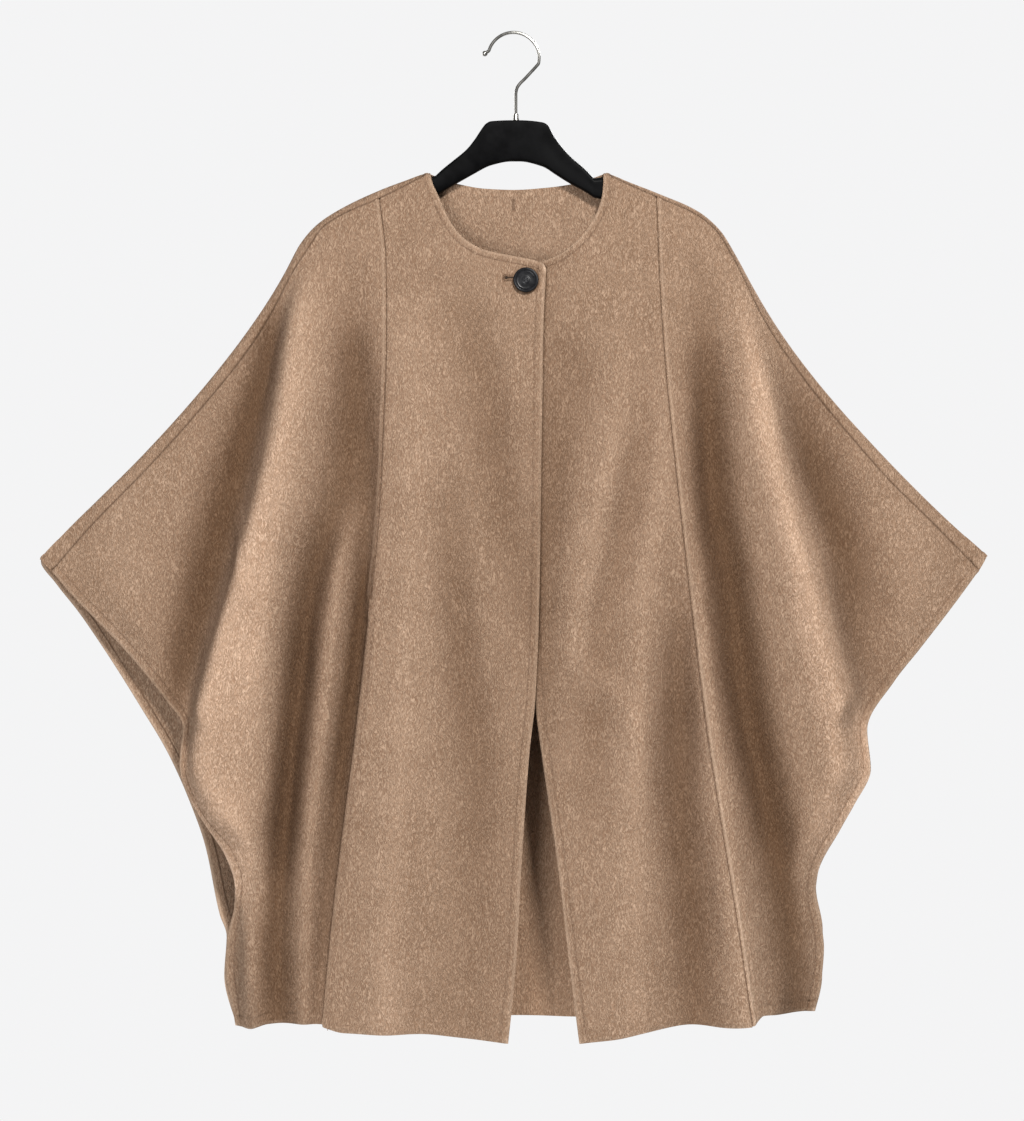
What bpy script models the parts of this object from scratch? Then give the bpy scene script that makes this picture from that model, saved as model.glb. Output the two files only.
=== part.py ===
"""Wool cape hanging buttoned on a coat hanger.

Lengths below are millimetres and become metres when a mesh is made. +Z is up, +X is to the right as seen
from the front, and the front faces -Y. The origin is the underside of the hook's bend, where a rail or a
peg bears. The wearer's right side is at -X.

Every cloth panel is a stretch of one of two surfaces, the front and the back. Both hang from a rounded
shoulder line that lies over the hanger, fall away from it by a smooth swell, and carry folds.
"""

import math

import bpy
import mathutils
import numpy as np

MM = 0.001

# Driving sizes
WALL = 2.6
SEAM_GAP = 0.5
HANGER_CLEARANCE = 1.2
HOOK_WIRE = 3.2
BUTTON_DIAMETER = 25.5
BUTTON_THICKNESS = 4.2
BUTTON_PLACE = (12.5, -252.5)
BUTTON_STEPS, COLLAR_STEPS = 28, 20
OVERARM_GAP = 0.4
OVERLAP_STEP = WALL + 2.2
BUTTON_LIFT = 0.9
TUCK_CLEAR, TUCK_FADE = 5.0, 36.0
SIDE_REACH_FRONT, SIDE_REACH_BACK = 38.0, 40.0
TIP_SPREAD = 60.0
COLLECTION = "wool cape on hanger"

# Colours of the solids
WOOL_FRONT, WOOL_SIDES, WOOL_BACK = (0.43, 0.29, 0.2), (0.38, 0.25, 0.17), (0.33, 0.21, 0.15)
BLACK_PLASTIC, STEEL, DARK_HORN = (0.015, 0.015, 0.017), (0.5, 0.49, 0.47), (0.012, 0.014, 0.022)

# Cells of the cloth walls, and where along the overarm seam and the neck they start and end
SIDE_CELLS, SHOULDER_CELLS, NECK_CELLS = 17, 3, 7
NECK_POINT_CELLS_RIGHT, NECK_POINT_CELLS_LEFT = 2, 3
FRONT_ROWS, WRAP_ROWS, BACK_ROWS, BACK_ROW_GROWTH = 22, 6, 17, 0.92
TOP_DROPS = (0.0, 3.5, 7.5, 13.0)
WING_RIGHT, SHOULDER_RIGHT = (-468, -136), (-136, -85)
WING_LEFT, SHOULDER_LEFT = (145, 472), (92, 145)
NECK_POINT_RIGHT, NECK_RIGHT = (-85, -80), (-80, 33)
NECK_POINT_LEFT, NECK_LEFT = (88.5, 92), (-8, 88.5)
NECK_BACK_COLUMNS_RIGHT = (-85.0, -80.0, -74.0, -62.0, -44.0, -23.0, -2.0)
NECK_BACK_COLUMNS_LEFT = (-2.0, 23.0, 46.0, 66.0, 80.0, 87.0, 92.0)

# Outline of the shoulders and wings' upper edges, seen from the front: across, height
RIDGE = (
    (-480, -532), (-447, -498), (-371, -422), (-292, -331), (-247, -268), (-232, -243), (-217, -214),
    (-201, -195), (-183, -182), (-141, -161), (-110, -149), (-85, -141), (0, -130),
    (92, -141), (118, -151), (149, -163), (187, -180), (210, -200), (225, -224), (240, -253),
    (255, -279), (291, -331), (369, -422), (445, -498), (481, -530),
)

# Half the depth of the rounded shoulder line: across, radius
ROUND = (
    (-480, 5.0), (-330, 8.0), (-214, 12.1), (-85, 10.0), (92, 10.0), (218, 12.1), (330, 8.0), (481, 5.0),
)

# Seam that joins front to back, just forward of the outline: across, height
OVERARM_SEAM = (
    (-468, -545), (-433, -505), (-368, -438), (-317, -381), (-267, -319), (-241, -278), (-219, -237),
    (-203, -211), (-194, -198), (-173, -184), (-136, -168), (-112, -156), (-85, -141),
    (92, -141), (118, -154), (145, -166), (185, -184), (205, -200), (224, -231), (249, -285),
    (290, -345), (340, -407), (382, -455), (419, -491), (472, -544),
)

# Neck edge of the front and of the back: across, height
NECK_FRONT_RIGHT = (
    (-85, -141), (-82, -152), (-77, -163), (-66, -188), (-51, -208), (-29, -221), (-1, -227), (33, -235),
)
NECK_FRONT_LEFT = (
    (-8, -230), (24, -232), (43, -226), (61, -214), (74, -200), (86, -178), (90, -163), (92, -141),
)
NECK_BACK = ((-85, -141), (-57, -151), (-27, -156), (1, -157), (32, -155), (61, -151), (92, -141))

# Lines that run down the cape: height, across
PANEL_SEAM_RIGHT = (
    (-1010, -193), (-874, -180), (-768, -167), (-660, -153), (-585, -145), (-494, -136),
    (-403, -131), (-314, -128), (-231, -129), (-168, -136), (-140, -139),
)
PANEL_SEAM_LEFT = (
    (-1010, 240), (-874, 220), (-783, 205), (-649, 186), (-534, 173), (-443, 163),
    (-349, 154), (-256, 148), (-166, 145), (-140, 144),
)
FRONT_EDGE_TOP_LAYER = (
    (-1020, -6), (-940, 2), (-833, 8), (-723, 16), (-680, 21), (-594, 25), (-424, 28), (-293, 30), (-234, 33),
)
FRONT_EDGE_UNDER_LAYER = (
    (-1020, 66), (-940, 56), (-838, 44), (-777, 35), (-681, 23), (-534, 14), (-393, 4), (-234, -8),
)
CENTRE_BACK = ((-1010, 4), (-600, 0), (-157, -2))

# Free side edge of the front, from the wing's tip to the hem: height, across, depth forward
FRONT_SIDE_RIGHT = (
    (-1012, -280, 3.0), (-980, -286, 3.0), (-953, -291, 3.0), (-915, -289, 4.0), (-880, -278, 8.0),
    (-857, -272, 12.0), (-831, -278, 17.0), (-788, -312, 27.0), (-758, -330, 33.0), (-741, -334, 34.0),
    (-704, -332, 20.0), (-676, -351, 13.0), (-623, -395, 11.0), (-567, -449, 9.0), (-545, -468, 6.0),
    (-140, -468, 5.0),
)
FRONT_SIDE_LEFT = (
    (-1000, 303, 3.0), (-958, 312, 3.0), (-928, 314, 3.5), (-909, 312, 5.0), (-867, 304, 8.0),
    (-852, 305, 11.0), (-803, 327, 24.0), (-779, 340, 29.0), (-743, 358, 31.0), (-706, 355, 26.0),
    (-656, 385, 15.0), (-625, 410, 12.0), (-584, 442, 10.0), (-544, 472, 6.0), (-140, 472, 5.0),
)

# Free side edge of the back: height, across, depth backward
BACK_SIDE_RIGHT = (
    (-1010, -281, 3.0), (-955, -294, 3.0), (-916, -292, 4.0), (-895, -299, 7.0), (-822, -315, 12.0),
    (-777, -331, 12.0), (-732, -351, 11.0), (-681, -381, 10.0), (-624, -417, 9.0), (-586, -443, 8.0),
    (-558, -465, 7.0), (-533, -481, 4.9), (-140, -481, 4.9),
)
BACK_SIDE_LEFT = (
    (-1000, 305, 3.0), (-958, 314, 3.0), (-909, 315, 5.0), (-867, 309, 8.0), (-852, 310, 9.0),
    (-803, 331, 10.0), (-743, 359, 10.0), (-706, 358, 10.0), (-656, 387, 9.0), (-584, 444, 8.0),
    (-531, 481, 4.9), (-140, 481, 4.9),
)

# Hem: across, height
HEM_SIDE_RIGHT = ((-280, -1006), (-262, -1007), (-244, -1001), (-215, -999), (-193, -999))
HEM_CENTRE_RIGHT = ((-193, -1001), (-169, -1007), (-94, -1008), (-49, -1013), (-6, -1018))
HEM_CENTRE_LEFT = ((66, -1018), (101, -1013), (131, -1006), (176, -1000), (206, -1002), (240, -999))
HEM_SIDE_LEFT = ((240, -998), (251, -989), (281, -991), (304, -991))
HEM_BACK = ((-282, -1001), (-200, -998), (0, -1000), (200, -997), (305, -992))

# Where the body's swell ends and the flat wing begins: height, across, width of the change
BODY_EDGE_RIGHT = (
    (-1010, -330, 30), (-800, -338, 30), (-700, -322, 26), (-640, -308, 26), (-500, -268, 26),
    (-380, -243, 24), (-300, -230, 24), (-250, -224, 24),
)
BODY_EDGE_LEFT = (
    (-1010, 345, 40), (-800, 365, 44), (-700, 345, 46), (-600, 318, 46), (-480, 285, 46),
    (-380, 262, 40), (-300, 246, 36), (-250, 238, 34),
)

# Swell of the two surfaces away from the shoulder line: at the wings, on the body, and the drop that makes it
FRONT_SWELL = (14.0, 35.0, 190.0)
BACK_SWELL = (3.0, 13.0, 210.0)

# Folds of the front. Each has a sideways lean for each unit of its rise, and rows of
# height, across, rise (forward, or backward if negative), reach to its left, reach to its right
FRONT_FOLDS = (
    ("outer fold, right", -0.7, (
        (-1010, -262, 8, 14, 20), (-900, -260, 10, 16, 26), (-820, -278, 18, 22, 28), (-740, -300, 23, 22, 32),
        (-640, -278, 25, 26, 32), (-500, -239, 23, 26, 30), (-380, -214, 20, 26, 28), (-290, -204, 15, 26, 26),
        (-225, -198, 0, 20, 22))),
    ("groove behind the outer fold, right", 0.0, (
        (-740, -356, -4, 24, 24), (-640, -330, -11, 28, 22), (-520, -300, -12, 32, 22), (-420, -272, -13, 28, 18),
        (-320, -243, -12, 20, 14), (-250, -228, 0, 14, 12))),
    ("broad hollow, right", 0.0, (
        (-1010, -238, -20, 20, 18), (-880, -235, -22, 20, 15), (-760, -226, -24, 20, 14),
        (-650, -214, -24, 20, 14), (-560, -202, -21, 22, 16), (-440, -168, -17, 26, 20),
        (-340, -161, -17, 18, 20), (-270, -166, -6, 18, 20), (-220, -170, 0, 18, 20))),
    ("narrow fold, right", 0.0, (
        (-1010, -208, 5, 12, 10), (-870, -207, 7, 14, 10), (-735, -195, 8, 12, 10), (-615, -182, 8, 15, 10),
        (-530, -176, 6, 14, 10), (-430, -170, 0, 10, 10))),
    ("hollow beside the panel seam, right", 0.0, (
        (-1010, -200, -5, 9, 12), (-860, -185, -6, 10, 12), (-740, -172, -7, 10, 10), (-620, -155, -9, 10, 9),
        (-520, -149, -9, 10, 9), (-420, -146, -6, 10, 9), (-340, -146, 0, 10, 9))),
    ("upper hollow beside the front edge, right", 0.0, (
        (-660, 16, 0, 22, 20), (-600, 11, -5, 24, 20), (-530, 1, -8, 26, 20), (-450, -12, -10, 26, 20),
        (-370, -24, -10, 24, 22), (-300, -38, -7, 24, 22), (-245, -50, 0, 22, 22))),
    ("lower hollow beside the front edge, right", 0.0, (
        (-1010, -44, -4, 28, 28), (-930, -40, -5, 28, 26), (-830, -34, -8, 24, 24), (-740, -36, -10, 24, 24),
        (-660, -48, -12, 20, 24), (-600, -54, -11, 20, 20), (-500, -64, -8, 20, 18), (-420, -74, 0, 20, 18))),
    ("panel fold, right", 0.0, (
        (-1010, -128, 13, 26, 22), (-920, -124, 12, 26, 22), (-800, -116, 11, 28, 24), (-600, -106, 9, 26, 28),
        (-420, -100, 9, 24, 28), (-320, -104, 5, 26, 28), (-250, -104, 0, 26, 28))),
    ("hollow beside the front edge, left", 0.0, (
        (-780, 44, 0, 22, 26), (-640, 34, -4, 18, 24), (-560, 32, -6, 18, 22), (-460, 44, -8, 20, 24),
        (-360, 60, -8, 22, 26), (-270, 68, 0, 22, 26))),
    ("panel fold, left", 0.0, (
        (-1010, 118, 9, 34, 26), (-800, 120, 8, 30, 22), (-700, 118, 6, 26, 20), (-620, 68, 6, 24, 20),
        (-540, 76, 8, 22, 22), (-460, 92, 9, 22, 22), (-370, 110, 6, 24, 24), (-270, 112, 0, 24, 24))),
    ("crossing hollow, left", 0.0, (
        (-840, 84, 0, 18, 18), (-740, 86, -6, 18, 18), (-620, 87, -8, 18, 16), (-520, 106, -7, 16, 16),
        (-430, 124, -7, 16, 16), (-340, 130, -4, 16, 16), (-280, 130, 0, 16, 16))),
    ("seam fold, left", 0.0, (
        (-800, 128, 2, 18, 16), (-700, 127, 9, 18, 16), (-620, 126, 9, 18, 16), (-500, 140, 7, 15, 15),
        (-420, 148, 5, 15, 15), (-340, 150, 0, 15, 15))),
    ("deep hollow by the seam, left", 0.0, (
        (-1010, 188, -13, 26, 22), (-870, 178, -16, 24, 22), (-770, 168, -16, 22, 20), (-660, 167, -14, 20, 17),
        (-570, 172, -8, 18, 15), (-480, 170, 0, 16, 15))),
    ("side fold, left", 0.0, (
        (-1010, 236, 14, 23, 19), (-930, 229, 14, 23, 18), (-860, 220, 12, 22, 18), (-760, 208, 12, 19, 17),
        (-660, 193, 12, 14, 14), (-540, 180, 7, 14, 16), (-430, 172, 3, 14, 16), (-360, 168, 0, 14, 16))),
    ("broad hollow, left", 0.0, (
        (-1010, 290, -15, 22, 20), (-900, 278, -22, 24, 22), (-820, 264, -25, 24, 24), (-740, 246, -26, 22, 26),
        (-660, 230, -27, 22, 26), (-560, 216, -27, 22, 24), (-460, 200, -26, 20, 24), (-360, 196, -19, 19, 22),
        (-290, 195, -9, 20, 22), (-220, 194, 0, 20, 22))),
    ("outer fold, left", 0.1, (
        (-1000, 318, 4, 20, 26), (-870, 308, 12, 24, 26), (-760, 334, 24, 30, 28), (-700, 328, 29, 30, 26),
        (-620, 308, 31, 28, 24), (-540, 288, 30, 26, 22), (-440, 262, 26, 24, 22), (-360, 248, 20, 24, 24),
        (-290, 232, 12, 22, 24), (-225, 222, 0, 20, 22))),
    ("wing hollow, left", 0.0, (
        (-690, 386, 0, 24, 26), (-580, 356, -6, 26, 30), (-480, 324, -9, 24, 32), (-400, 296, -8, 20, 28),
        (-330, 274, 0, 16, 22))),
    ("wing swell, right", 0.0, (
        (-700, -380, 0, 30, 30), (-600, -396, 5, 40, 34), (-500, -380, 6, 45, 34), (-400, -320, 0, 40, 40))),
    ("wing swell, left", 0.0, (
        (-700, 410, 0, 30, 30), (-600, 414, 5, 34, 40), (-480, 388, 5, 34, 40), (-380, 330, 0, 34, 40))),
)

# Sharp fall of the side panel away from the panel seam: height, fall
SEAM_FALL_RIGHT = ((-1010, 10), (-880, 12), (-760, 14), (-640, 14), (-560, 11), (-460, 7), (-360, 3), (-300, 0))
SEAM_FALL_REACH, SEAM_FALL_LENGTH = 9.0, 34.0

# Folds of the back, with rise away from the body
BACK_FOLDS = (
    ("outer fold, right", 0.2, (
        (-1010, -262, 5, 24, 34), (-820, -272, 9, 30, 38), (-640, -262, 11, 34, 38), (-480, -240, 9, 32, 36),
        (-340, -222, 5, 26, 30), (-250, -208, 0, 24, 24))),
    ("hollow, right", 0.0, (
        (-1010, -196, -8, 30, 28), (-760, -186, -9, 32, 28), (-560, -172, -8, 32, 26), (-380, -158, -5, 28, 26),
        (-270, -150, 0, 26, 26))),
    ("middle fold, right", 0.0, (
        (-1010, -124, 8, 32, 30), (-760, -112, 8, 32, 30), (-540, -104, 6, 30, 30), (-360, -96, 0, 30, 30))),
    ("inner hollow, right", 0.0, (
        (-1010, -56, -6, 26, 30), (-740, -50, -6, 26, 30), (-520, -46, -4, 26, 30), (-360, -44, 0, 26, 30))),
    ("centre fold", 0.0, (
        (-1010, 8, 6, 34, 34), (-740, 4, 5, 34, 34), (-500, 0, 3, 34, 34), (-330, 0, 0, 34, 34))),
    ("inner hollow, left", 0.0, (
        (-1010, 72, -7, 30, 28), (-700, 62, -7, 30, 28), (-500, 58, -5, 30, 28), (-340, 52, 0, 30, 28))),
    ("middle fold, left", 0.0, (
        (-1010, 140, 9, 30, 34), (-780, 130, 9, 30, 34), (-560, 118, 7, 30, 32), (-370, 104, 0, 30, 30))),
    ("hollow, left", 0.0, (
        (-1010, 214, -8, 30, 30), (-780, 204, -9, 30, 32), (-600, 190, -8, 30, 32), (-400, 168, -5, 26, 28),
        (-270, 158, 0, 26, 26))),
    ("outer fold, left", -0.2, (
        (-1000, 290, 5, 30, 24), (-820, 296, 9, 36, 30), (-660, 292, 11, 38, 34), (-500, 262, 9, 36, 32),
        (-350, 236, 5, 30, 26), (-250, 216, 0, 24, 24))),
)

# Change of the normal from the round shoulder line to the slope below it
NORMAL_BLEND_FROM, NORMAL_BLEND_OVER, NORMAL_STEP = 0.2, 0.3, 1.5

# Back panel: how far past the shoulder line's top, and past its own start, the wrapped rows end
WRAP_BEYOND, WRAP_LEAST = 12.0, 20.0

# Hanger arms: stretches under the cloth, depth from top to bottom, and the ends, as step outward and scale
ARM_RIGHT, ARM_LEFT = (-192.0, -86.0), (93.0, 196.0)
ARM_START, ARM_LENGTH = 85.0, 110.0
ARM_DEPTH_NECK, ARM_DEPTH_END = 22.0, 30.0
ARM_ENDS, ARM_END_SLOPE = (-194.0, 198.0), 1.1
ARM_END_STEPS = ((0.0, 0.9), (4.5, 0.7), (7.5, 0.35))

# Hanger edges, and its yoke seen from the front: across, top, bottom
YOKE_HALF, YOKE_ROUND, HANGER_CHAMFER = 5.8, 2.5, 2.5
YOKE_SQUARE, YOKE_BLEND = 45.0, 41.0
LEAST_SIDE, END_SIDE, ROUND_STEPS, CHAMFER_SHARE = 0.4, 0.2, 5, 0.4
HANGER_YOKE = (
    (-79, -144, -164), (-72, -137.5, -160), (-62, -129.5, -154), (-47, -117, -145.5), (-39, -107, -141),
    (-31, -95, -136.5), (-28, -91.5, -135), (-23, -89, -133), (-2, -88, -129), (6, -88, -129), (29, -90, -134),
    (35, -93, -137), (40, -102, -140.5), (50, -116, -147), (60, -126.5, -153), (73, -137.5, -160), (82, -146.5, -166),
)

# Collar, as radius and height of its foot and of its top, and the wire hook seen from the front
HANGER_COLLAR = ((3.3, -87.6), (2.6, -81.3))
HOOK_STEM = (
    (2.4, -81.0), (2.4, -61.0), (3.4, -55.5), (6.2, -50.8), (11.0, -46.0), (18.0, -38.5), (23.0, -33.0),
)
HOOK_CENTRE, HOOK_RADIUS, HOOK_TURN, HOOK_STEPS = (0.0, -24.4), 26.0, (-12.0, 163.0), 15
HOOK_TIP = (
    (-27.2, -18.6, 1.0), (-28.4, -19.8, 1.25), (-29.8, -20.6, 1.65), (-31.3, -21.2, 1.65), (-32.8, -21.6, 0.9),
)

# Button: radius and drop below its top from boss to rim, then the same for its edge and foot, from the rim inward
BUTTON_FACE = ((0.0, 1.0), (2.6, 1.05), (4.4, 1.5), (8.6, 1.5), (10.0, 0.9), (10.6, 0.1), (11.5, 0.0))
BUTTON_EDGE = ((0.5, 0.4), (0.0, 1.3), (0.0, 3.0), (0.6, 3.9), (1.6, 4.2))


def columns_of(rows):
    return np.array(sorted(rows), dtype=float)


def curve(rows, at, column=1):
    """A smooth curve through the rows with no overshoot, straight past both ends."""
    table = columns_of(rows)
    x, y = table[:, 0], table[:, column]
    at = np.asarray(at, dtype=float)
    step = np.diff(x)
    slope = np.diff(y) / step
    tangent = np.concatenate([[slope[0]], np.zeros(len(x) - 2), [slope[-1]]])
    same_way = slope[:-1] * slope[1:] > 0
    before, after = step[:-1][same_way], step[1:][same_way]
    weight_before, weight_after = 2 * after + before, after + 2 * before
    tangent[1:-1][same_way] = (weight_before + weight_after) / (
        weight_before / slope[:-1][same_way] + weight_after / slope[1:][same_way]
    )
    inside = np.clip(at, x[0], x[-1])
    cell = np.clip(np.searchsorted(x, inside, side="right") - 1, 0, len(x) - 2)
    t = (inside - x[cell]) / step[cell]
    value = (
        (1 + 2 * t) * (1 - t) ** 2 * y[cell]
        + t * (1 - t) ** 2 * step[cell] * tangent[cell]
        + t * t * (3 - 2 * t) * y[cell + 1]
        - t * t * (1 - t) * step[cell] * tangent[cell + 1]
    )
    outside = at - inside
    return value + np.where(outside < 0, tangent[0], tangent[-1]) * outside


def held(rows, at, column=1):
    """The same curve, holding its end values past both ends."""
    table = columns_of(rows)
    return curve(rows, np.clip(at, table[0, 0], table[-1, 0]), column)


def ease(t):
    t = np.clip(t, 0.0, 1.0)
    return t * t * (3 - 2 * t)


def shoulder(across):
    """Spine height inside the rounded shoulder line, the radius round it, and the cosine of its slope."""
    slope = (curve(RIDGE, across + 1.0) - curve(RIDGE, across - 1.0)) / 2.0
    level = 1.0 / np.sqrt(1.0 + slope**2)
    radius = held(ROUND, across)
    return curve(RIDGE, across) - radius / level, radius, level


def folds_at(folds, across, height):
    """Depth that the folds add at each point, and how far they carry it sideways."""
    depth, sideways = np.zeros(np.shape(across)), np.zeros(np.shape(across))
    for _, lean, rows in folds:
        rise = held(rows, height, 2)
        away = across - held(rows, height, 1)
        reach = np.where(away < 0, held(rows, height, 3), held(rows, height, 4))
        lift = rise * np.exp(-((away / reach) ** 2))
        depth += lift
        sideways += lean * lift
    return depth, sideways


def beside(height, across, right_rows, left_rows, column=1):
    """The value from the right or the left side's rows, by the side that each point is on."""
    return np.where(across < 0, held(right_rows, height, column), held(left_rows, height, column))


def settled(depth, across, height, right_rows, left_rows, reach):
    """Depth brought to the free side edge's own depth over the last stretch before it."""
    edge = beside(height, across, right_rows, left_rows)
    hold = ease(np.abs(across - edge) / reach)
    edge_depth = beside(height, across, right_rows, left_rows, 2)
    return edge_depth + (depth - edge_depth) * hold


def swell(across, height, amounts):
    """Rounded shoulder line, then the fall away from it: wide on the body and slight on the wings."""
    wing, body, drop_reach = amounts
    spine, radius, level = shoulder(across)
    above = np.clip((height - spine) * level, 0.0, radius)
    drop = np.maximum(spine - height, 0.0)
    inside = np.where(
        across < 0, across - held(BODY_EDGE_RIGHT, height), held(BODY_EDGE_LEFT, height) - across
    )
    on_body = ease(inside / beside(height, across, BODY_EDGE_RIGHT, BODY_EDGE_LEFT, 2) + 0.5)
    fall_away = (wing + (body - wing) * on_body) * (1.0 - np.exp(-((drop / drop_reach) ** 1.2)))
    return np.sqrt(radius**2 - above**2) + fall_away


def seam_fall(across, height):
    """How far the side panel drops away beside the right panel seam."""
    beyond = np.maximum(held(PANEL_SEAM_RIGHT, height) - across, 0.0)
    fall = held(SEAM_FALL_RIGHT, height) * (1.0 - np.exp(-beyond / SEAM_FALL_REACH))
    return fall * np.exp(-beyond / SEAM_FALL_LENGTH)


def front(across, height):
    depth = swell(across, height, FRONT_SWELL)
    lift, sideways = folds_at(FRONT_FOLDS, across, height)
    depth = depth + lift - seam_fall(across, height)
    depth = settled(depth, across, height, FRONT_SIDE_RIGHT, FRONT_SIDE_LEFT, SIDE_REACH_FRONT)
    return np.stack([across + sideways, -depth, height], axis=-1)


def back(across, height):
    depth = swell(across, height, BACK_SWELL)
    lift, sideways = folds_at(BACK_FOLDS, across, height)
    depth = settled(depth + lift, across, height, BACK_SIDE_RIGHT, BACK_SIDE_LEFT, SIDE_REACH_BACK)
    return np.stack([across + sideways, depth, height], axis=-1)


def outward(surface, across, height):
    """Unit normal away from the body: round the spine on the shoulder line, and by differences below it."""
    facing = -1.0 if surface is front else 1.0
    step = NORMAL_STEP
    along = surface(across + step, height) - surface(across - step, height)
    up = surface(across, height + step) - surface(across, height - step)
    below = np.cross(along, up) * (1.0 if surface is front else -1.0)
    below /= np.linalg.norm(below, axis=-1, keepdims=True)
    spine, radius, level = shoulder(across)
    upright = np.clip((height - spine) * level / radius, 0.0, 1.0)
    sideways = -np.sqrt(1.0 - level**2) * np.sign(curve(RIDGE, across + 1.0) - curve(RIDGE, across - 1.0))
    round_spine = np.stack(
        [upright * sideways, facing * np.sqrt(1.0 - upright**2), upright * level], axis=-1
    )
    share = ease((upright - NORMAL_BLEND_FROM) / NORMAL_BLEND_OVER)[..., None]
    mixed = below * (1.0 - share) + round_spine * share
    return mixed / np.linalg.norm(mixed, axis=-1, keepdims=True)


def spaced(rows, start, end, cells):
    """Positions across, evenly far apart along the line that the rows draw."""
    fine = np.linspace(start, end, 400)
    line = np.hypot(np.gradient(fine), np.gradient(curve(rows, fine)))
    run = np.concatenate([[0.0], np.cumsum((line[1:] + line[:-1]) / 2.0)])
    return np.interp(np.linspace(0.0, run[-1], cells + 1), run, fine)


def joined(*stretches):
    return np.concatenate([stretches[0]] + [stretch[1:] for stretch in stretches[1:]])


def front_grid(lines, tops, drops, shares, gaps):
    """Places across and heights of a front panel, as rows from top to hem.

    lines are its left and right lines, which run down, and its top and hem, which run across. tops are the
    columns' places along the top, drops the first rows' depths below it, shares the other rows' places from
    the last drop to the hem, and gaps how far the panel stays inside its left, right and top lines.
    """
    left, right, top, hem = lines
    gap_left, gap_right, gap_top = gaps
    top_heights = curve(top, tops)
    low, high = held(left, top_heights), held(right, top_heights)
    share = (tops - low) / (high - low)
    hem_across = np.linspace(*(columns_of(hem)[[0, -1], 0]), 200)
    hem_height = curve(hem, hem_across)
    low, high = held(left, hem_height), held(right, hem_height)
    bottom = np.interp(share, (hem_across - low) / (high - low), hem_height)
    top_heights = top_heights - gap_top / shoulder(tops)[2]
    first = top_heights - np.array(drops)[:, None]
    height = np.concatenate([first, first[-1] + (bottom - first[-1]) * shares[:, None]])
    low, high = held(left, height) + gap_left, held(right, height) - gap_right
    return low + (high - low) * share, height


def along_path(height, across):
    """Length of cloth from the shoulder line's top down to a height."""
    spine, radius, level = shoulder(across)
    upright = np.clip((height - spine) * level / radius, 0.0, 1.0)
    return radius * np.arccos(upright) + np.maximum(spine - height, 0.0)


def height_on_path(run, across):
    spine, radius, level = shoulder(across)
    quarter = radius * math.pi / 2.0
    on_round = spine + radius / level * np.cos(np.minimum(run, quarter) / radius)
    return np.where(run < quarter, on_round, spine - (run - quarter))


def back_grid(side, tops, gap_centre, wraps, shares):
    """Places and heights of a back panel, from the seam in front, over the shoulder, to the hem.

    A column inside the neck opening starts at the back neck edge. tops are the columns' places along the
    seam, wraps the rows' shares of the way over the shoulder, and shares those of the way down the back.
    The third result is true where a point still lies in front.
    """
    outer = side[-1][1]
    tip_seam = tops[np.argmax(np.abs(tops))]
    toward_tip = np.clip((np.abs(tops) - abs(tip_seam) + TIP_SPREAD) / TIP_SPREAD, 0.0, 1.0)
    ridge_place = tops + (outer - tip_seam) * toward_tip
    in_neck = (tops > NECK_BACK[0][0]) & (tops < NECK_BACK[-1][0])
    seam_height = curve(OVERARM_SEAM, tops) + OVERARM_GAP / shoulder(tops)[2]
    seam_height = np.minimum(seam_height, curve(RIDGE, tops))
    start = np.where(in_neck, along_path(curve(NECK_BACK, tops), tops), -along_path(seam_height, tops))
    quarter = shoulder(ridge_place)[1] * math.pi / 2.0
    join = np.maximum(quarter + WRAP_BEYOND, start + WRAP_LEAST)
    runs = start + (join - start) * wraps[:, None]
    in_front = runs < 0.0
    climbed = np.where(start < 0.0, np.clip(1.0 - runs / np.minimum(start, -1e-6), 0.0, 1.0), 1.0)
    place = tops + (ridge_place - tops) * climbed
    wrap_height = height_on_path(np.abs(runs), place)
    centre_line = held(CENTRE_BACK, wrap_height[-1])
    edge_line = held(side, wrap_height[-1])
    share = (place[-1] - centre_line) / (edge_line - centre_line)
    centre_low = CENTRE_BACK[0][1]
    bottom = curve(HEM_BACK, centre_low + share * (side[0][1] - centre_low))
    height = wrap_height[-1] + (bottom - wrap_height[-1]) * shares[:, None]
    centre_line, edge_line = held(CENTRE_BACK, height) + gap_centre, held(side, height)
    across = centre_line + (edge_line - centre_line) * share
    place[:, np.argmin(np.abs(tops))] += gap_centre
    in_front = np.concatenate([in_front, np.zeros(height.shape, bool)])
    return np.concatenate([place, across]), np.concatenate([wrap_height, height]), in_front


def tuck(across, height):
    """How far the under layer steps back where the other front lies over it."""
    beyond = across - held(FRONT_EDGE_TOP_LAYER, height)
    return OVERLAP_STEP * (1.0 - ease((beyond - TUCK_CLEAR) / (TUCK_FADE - TUCK_CLEAR)))


def new_object(name, mesh_or_curve, material):
    made = bpy.data.objects.new(name, mesh_or_curve)
    mesh_or_curve.materials.append(material)
    bpy.data.collections[COLLECTION].objects.link(made)
    return made


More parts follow.
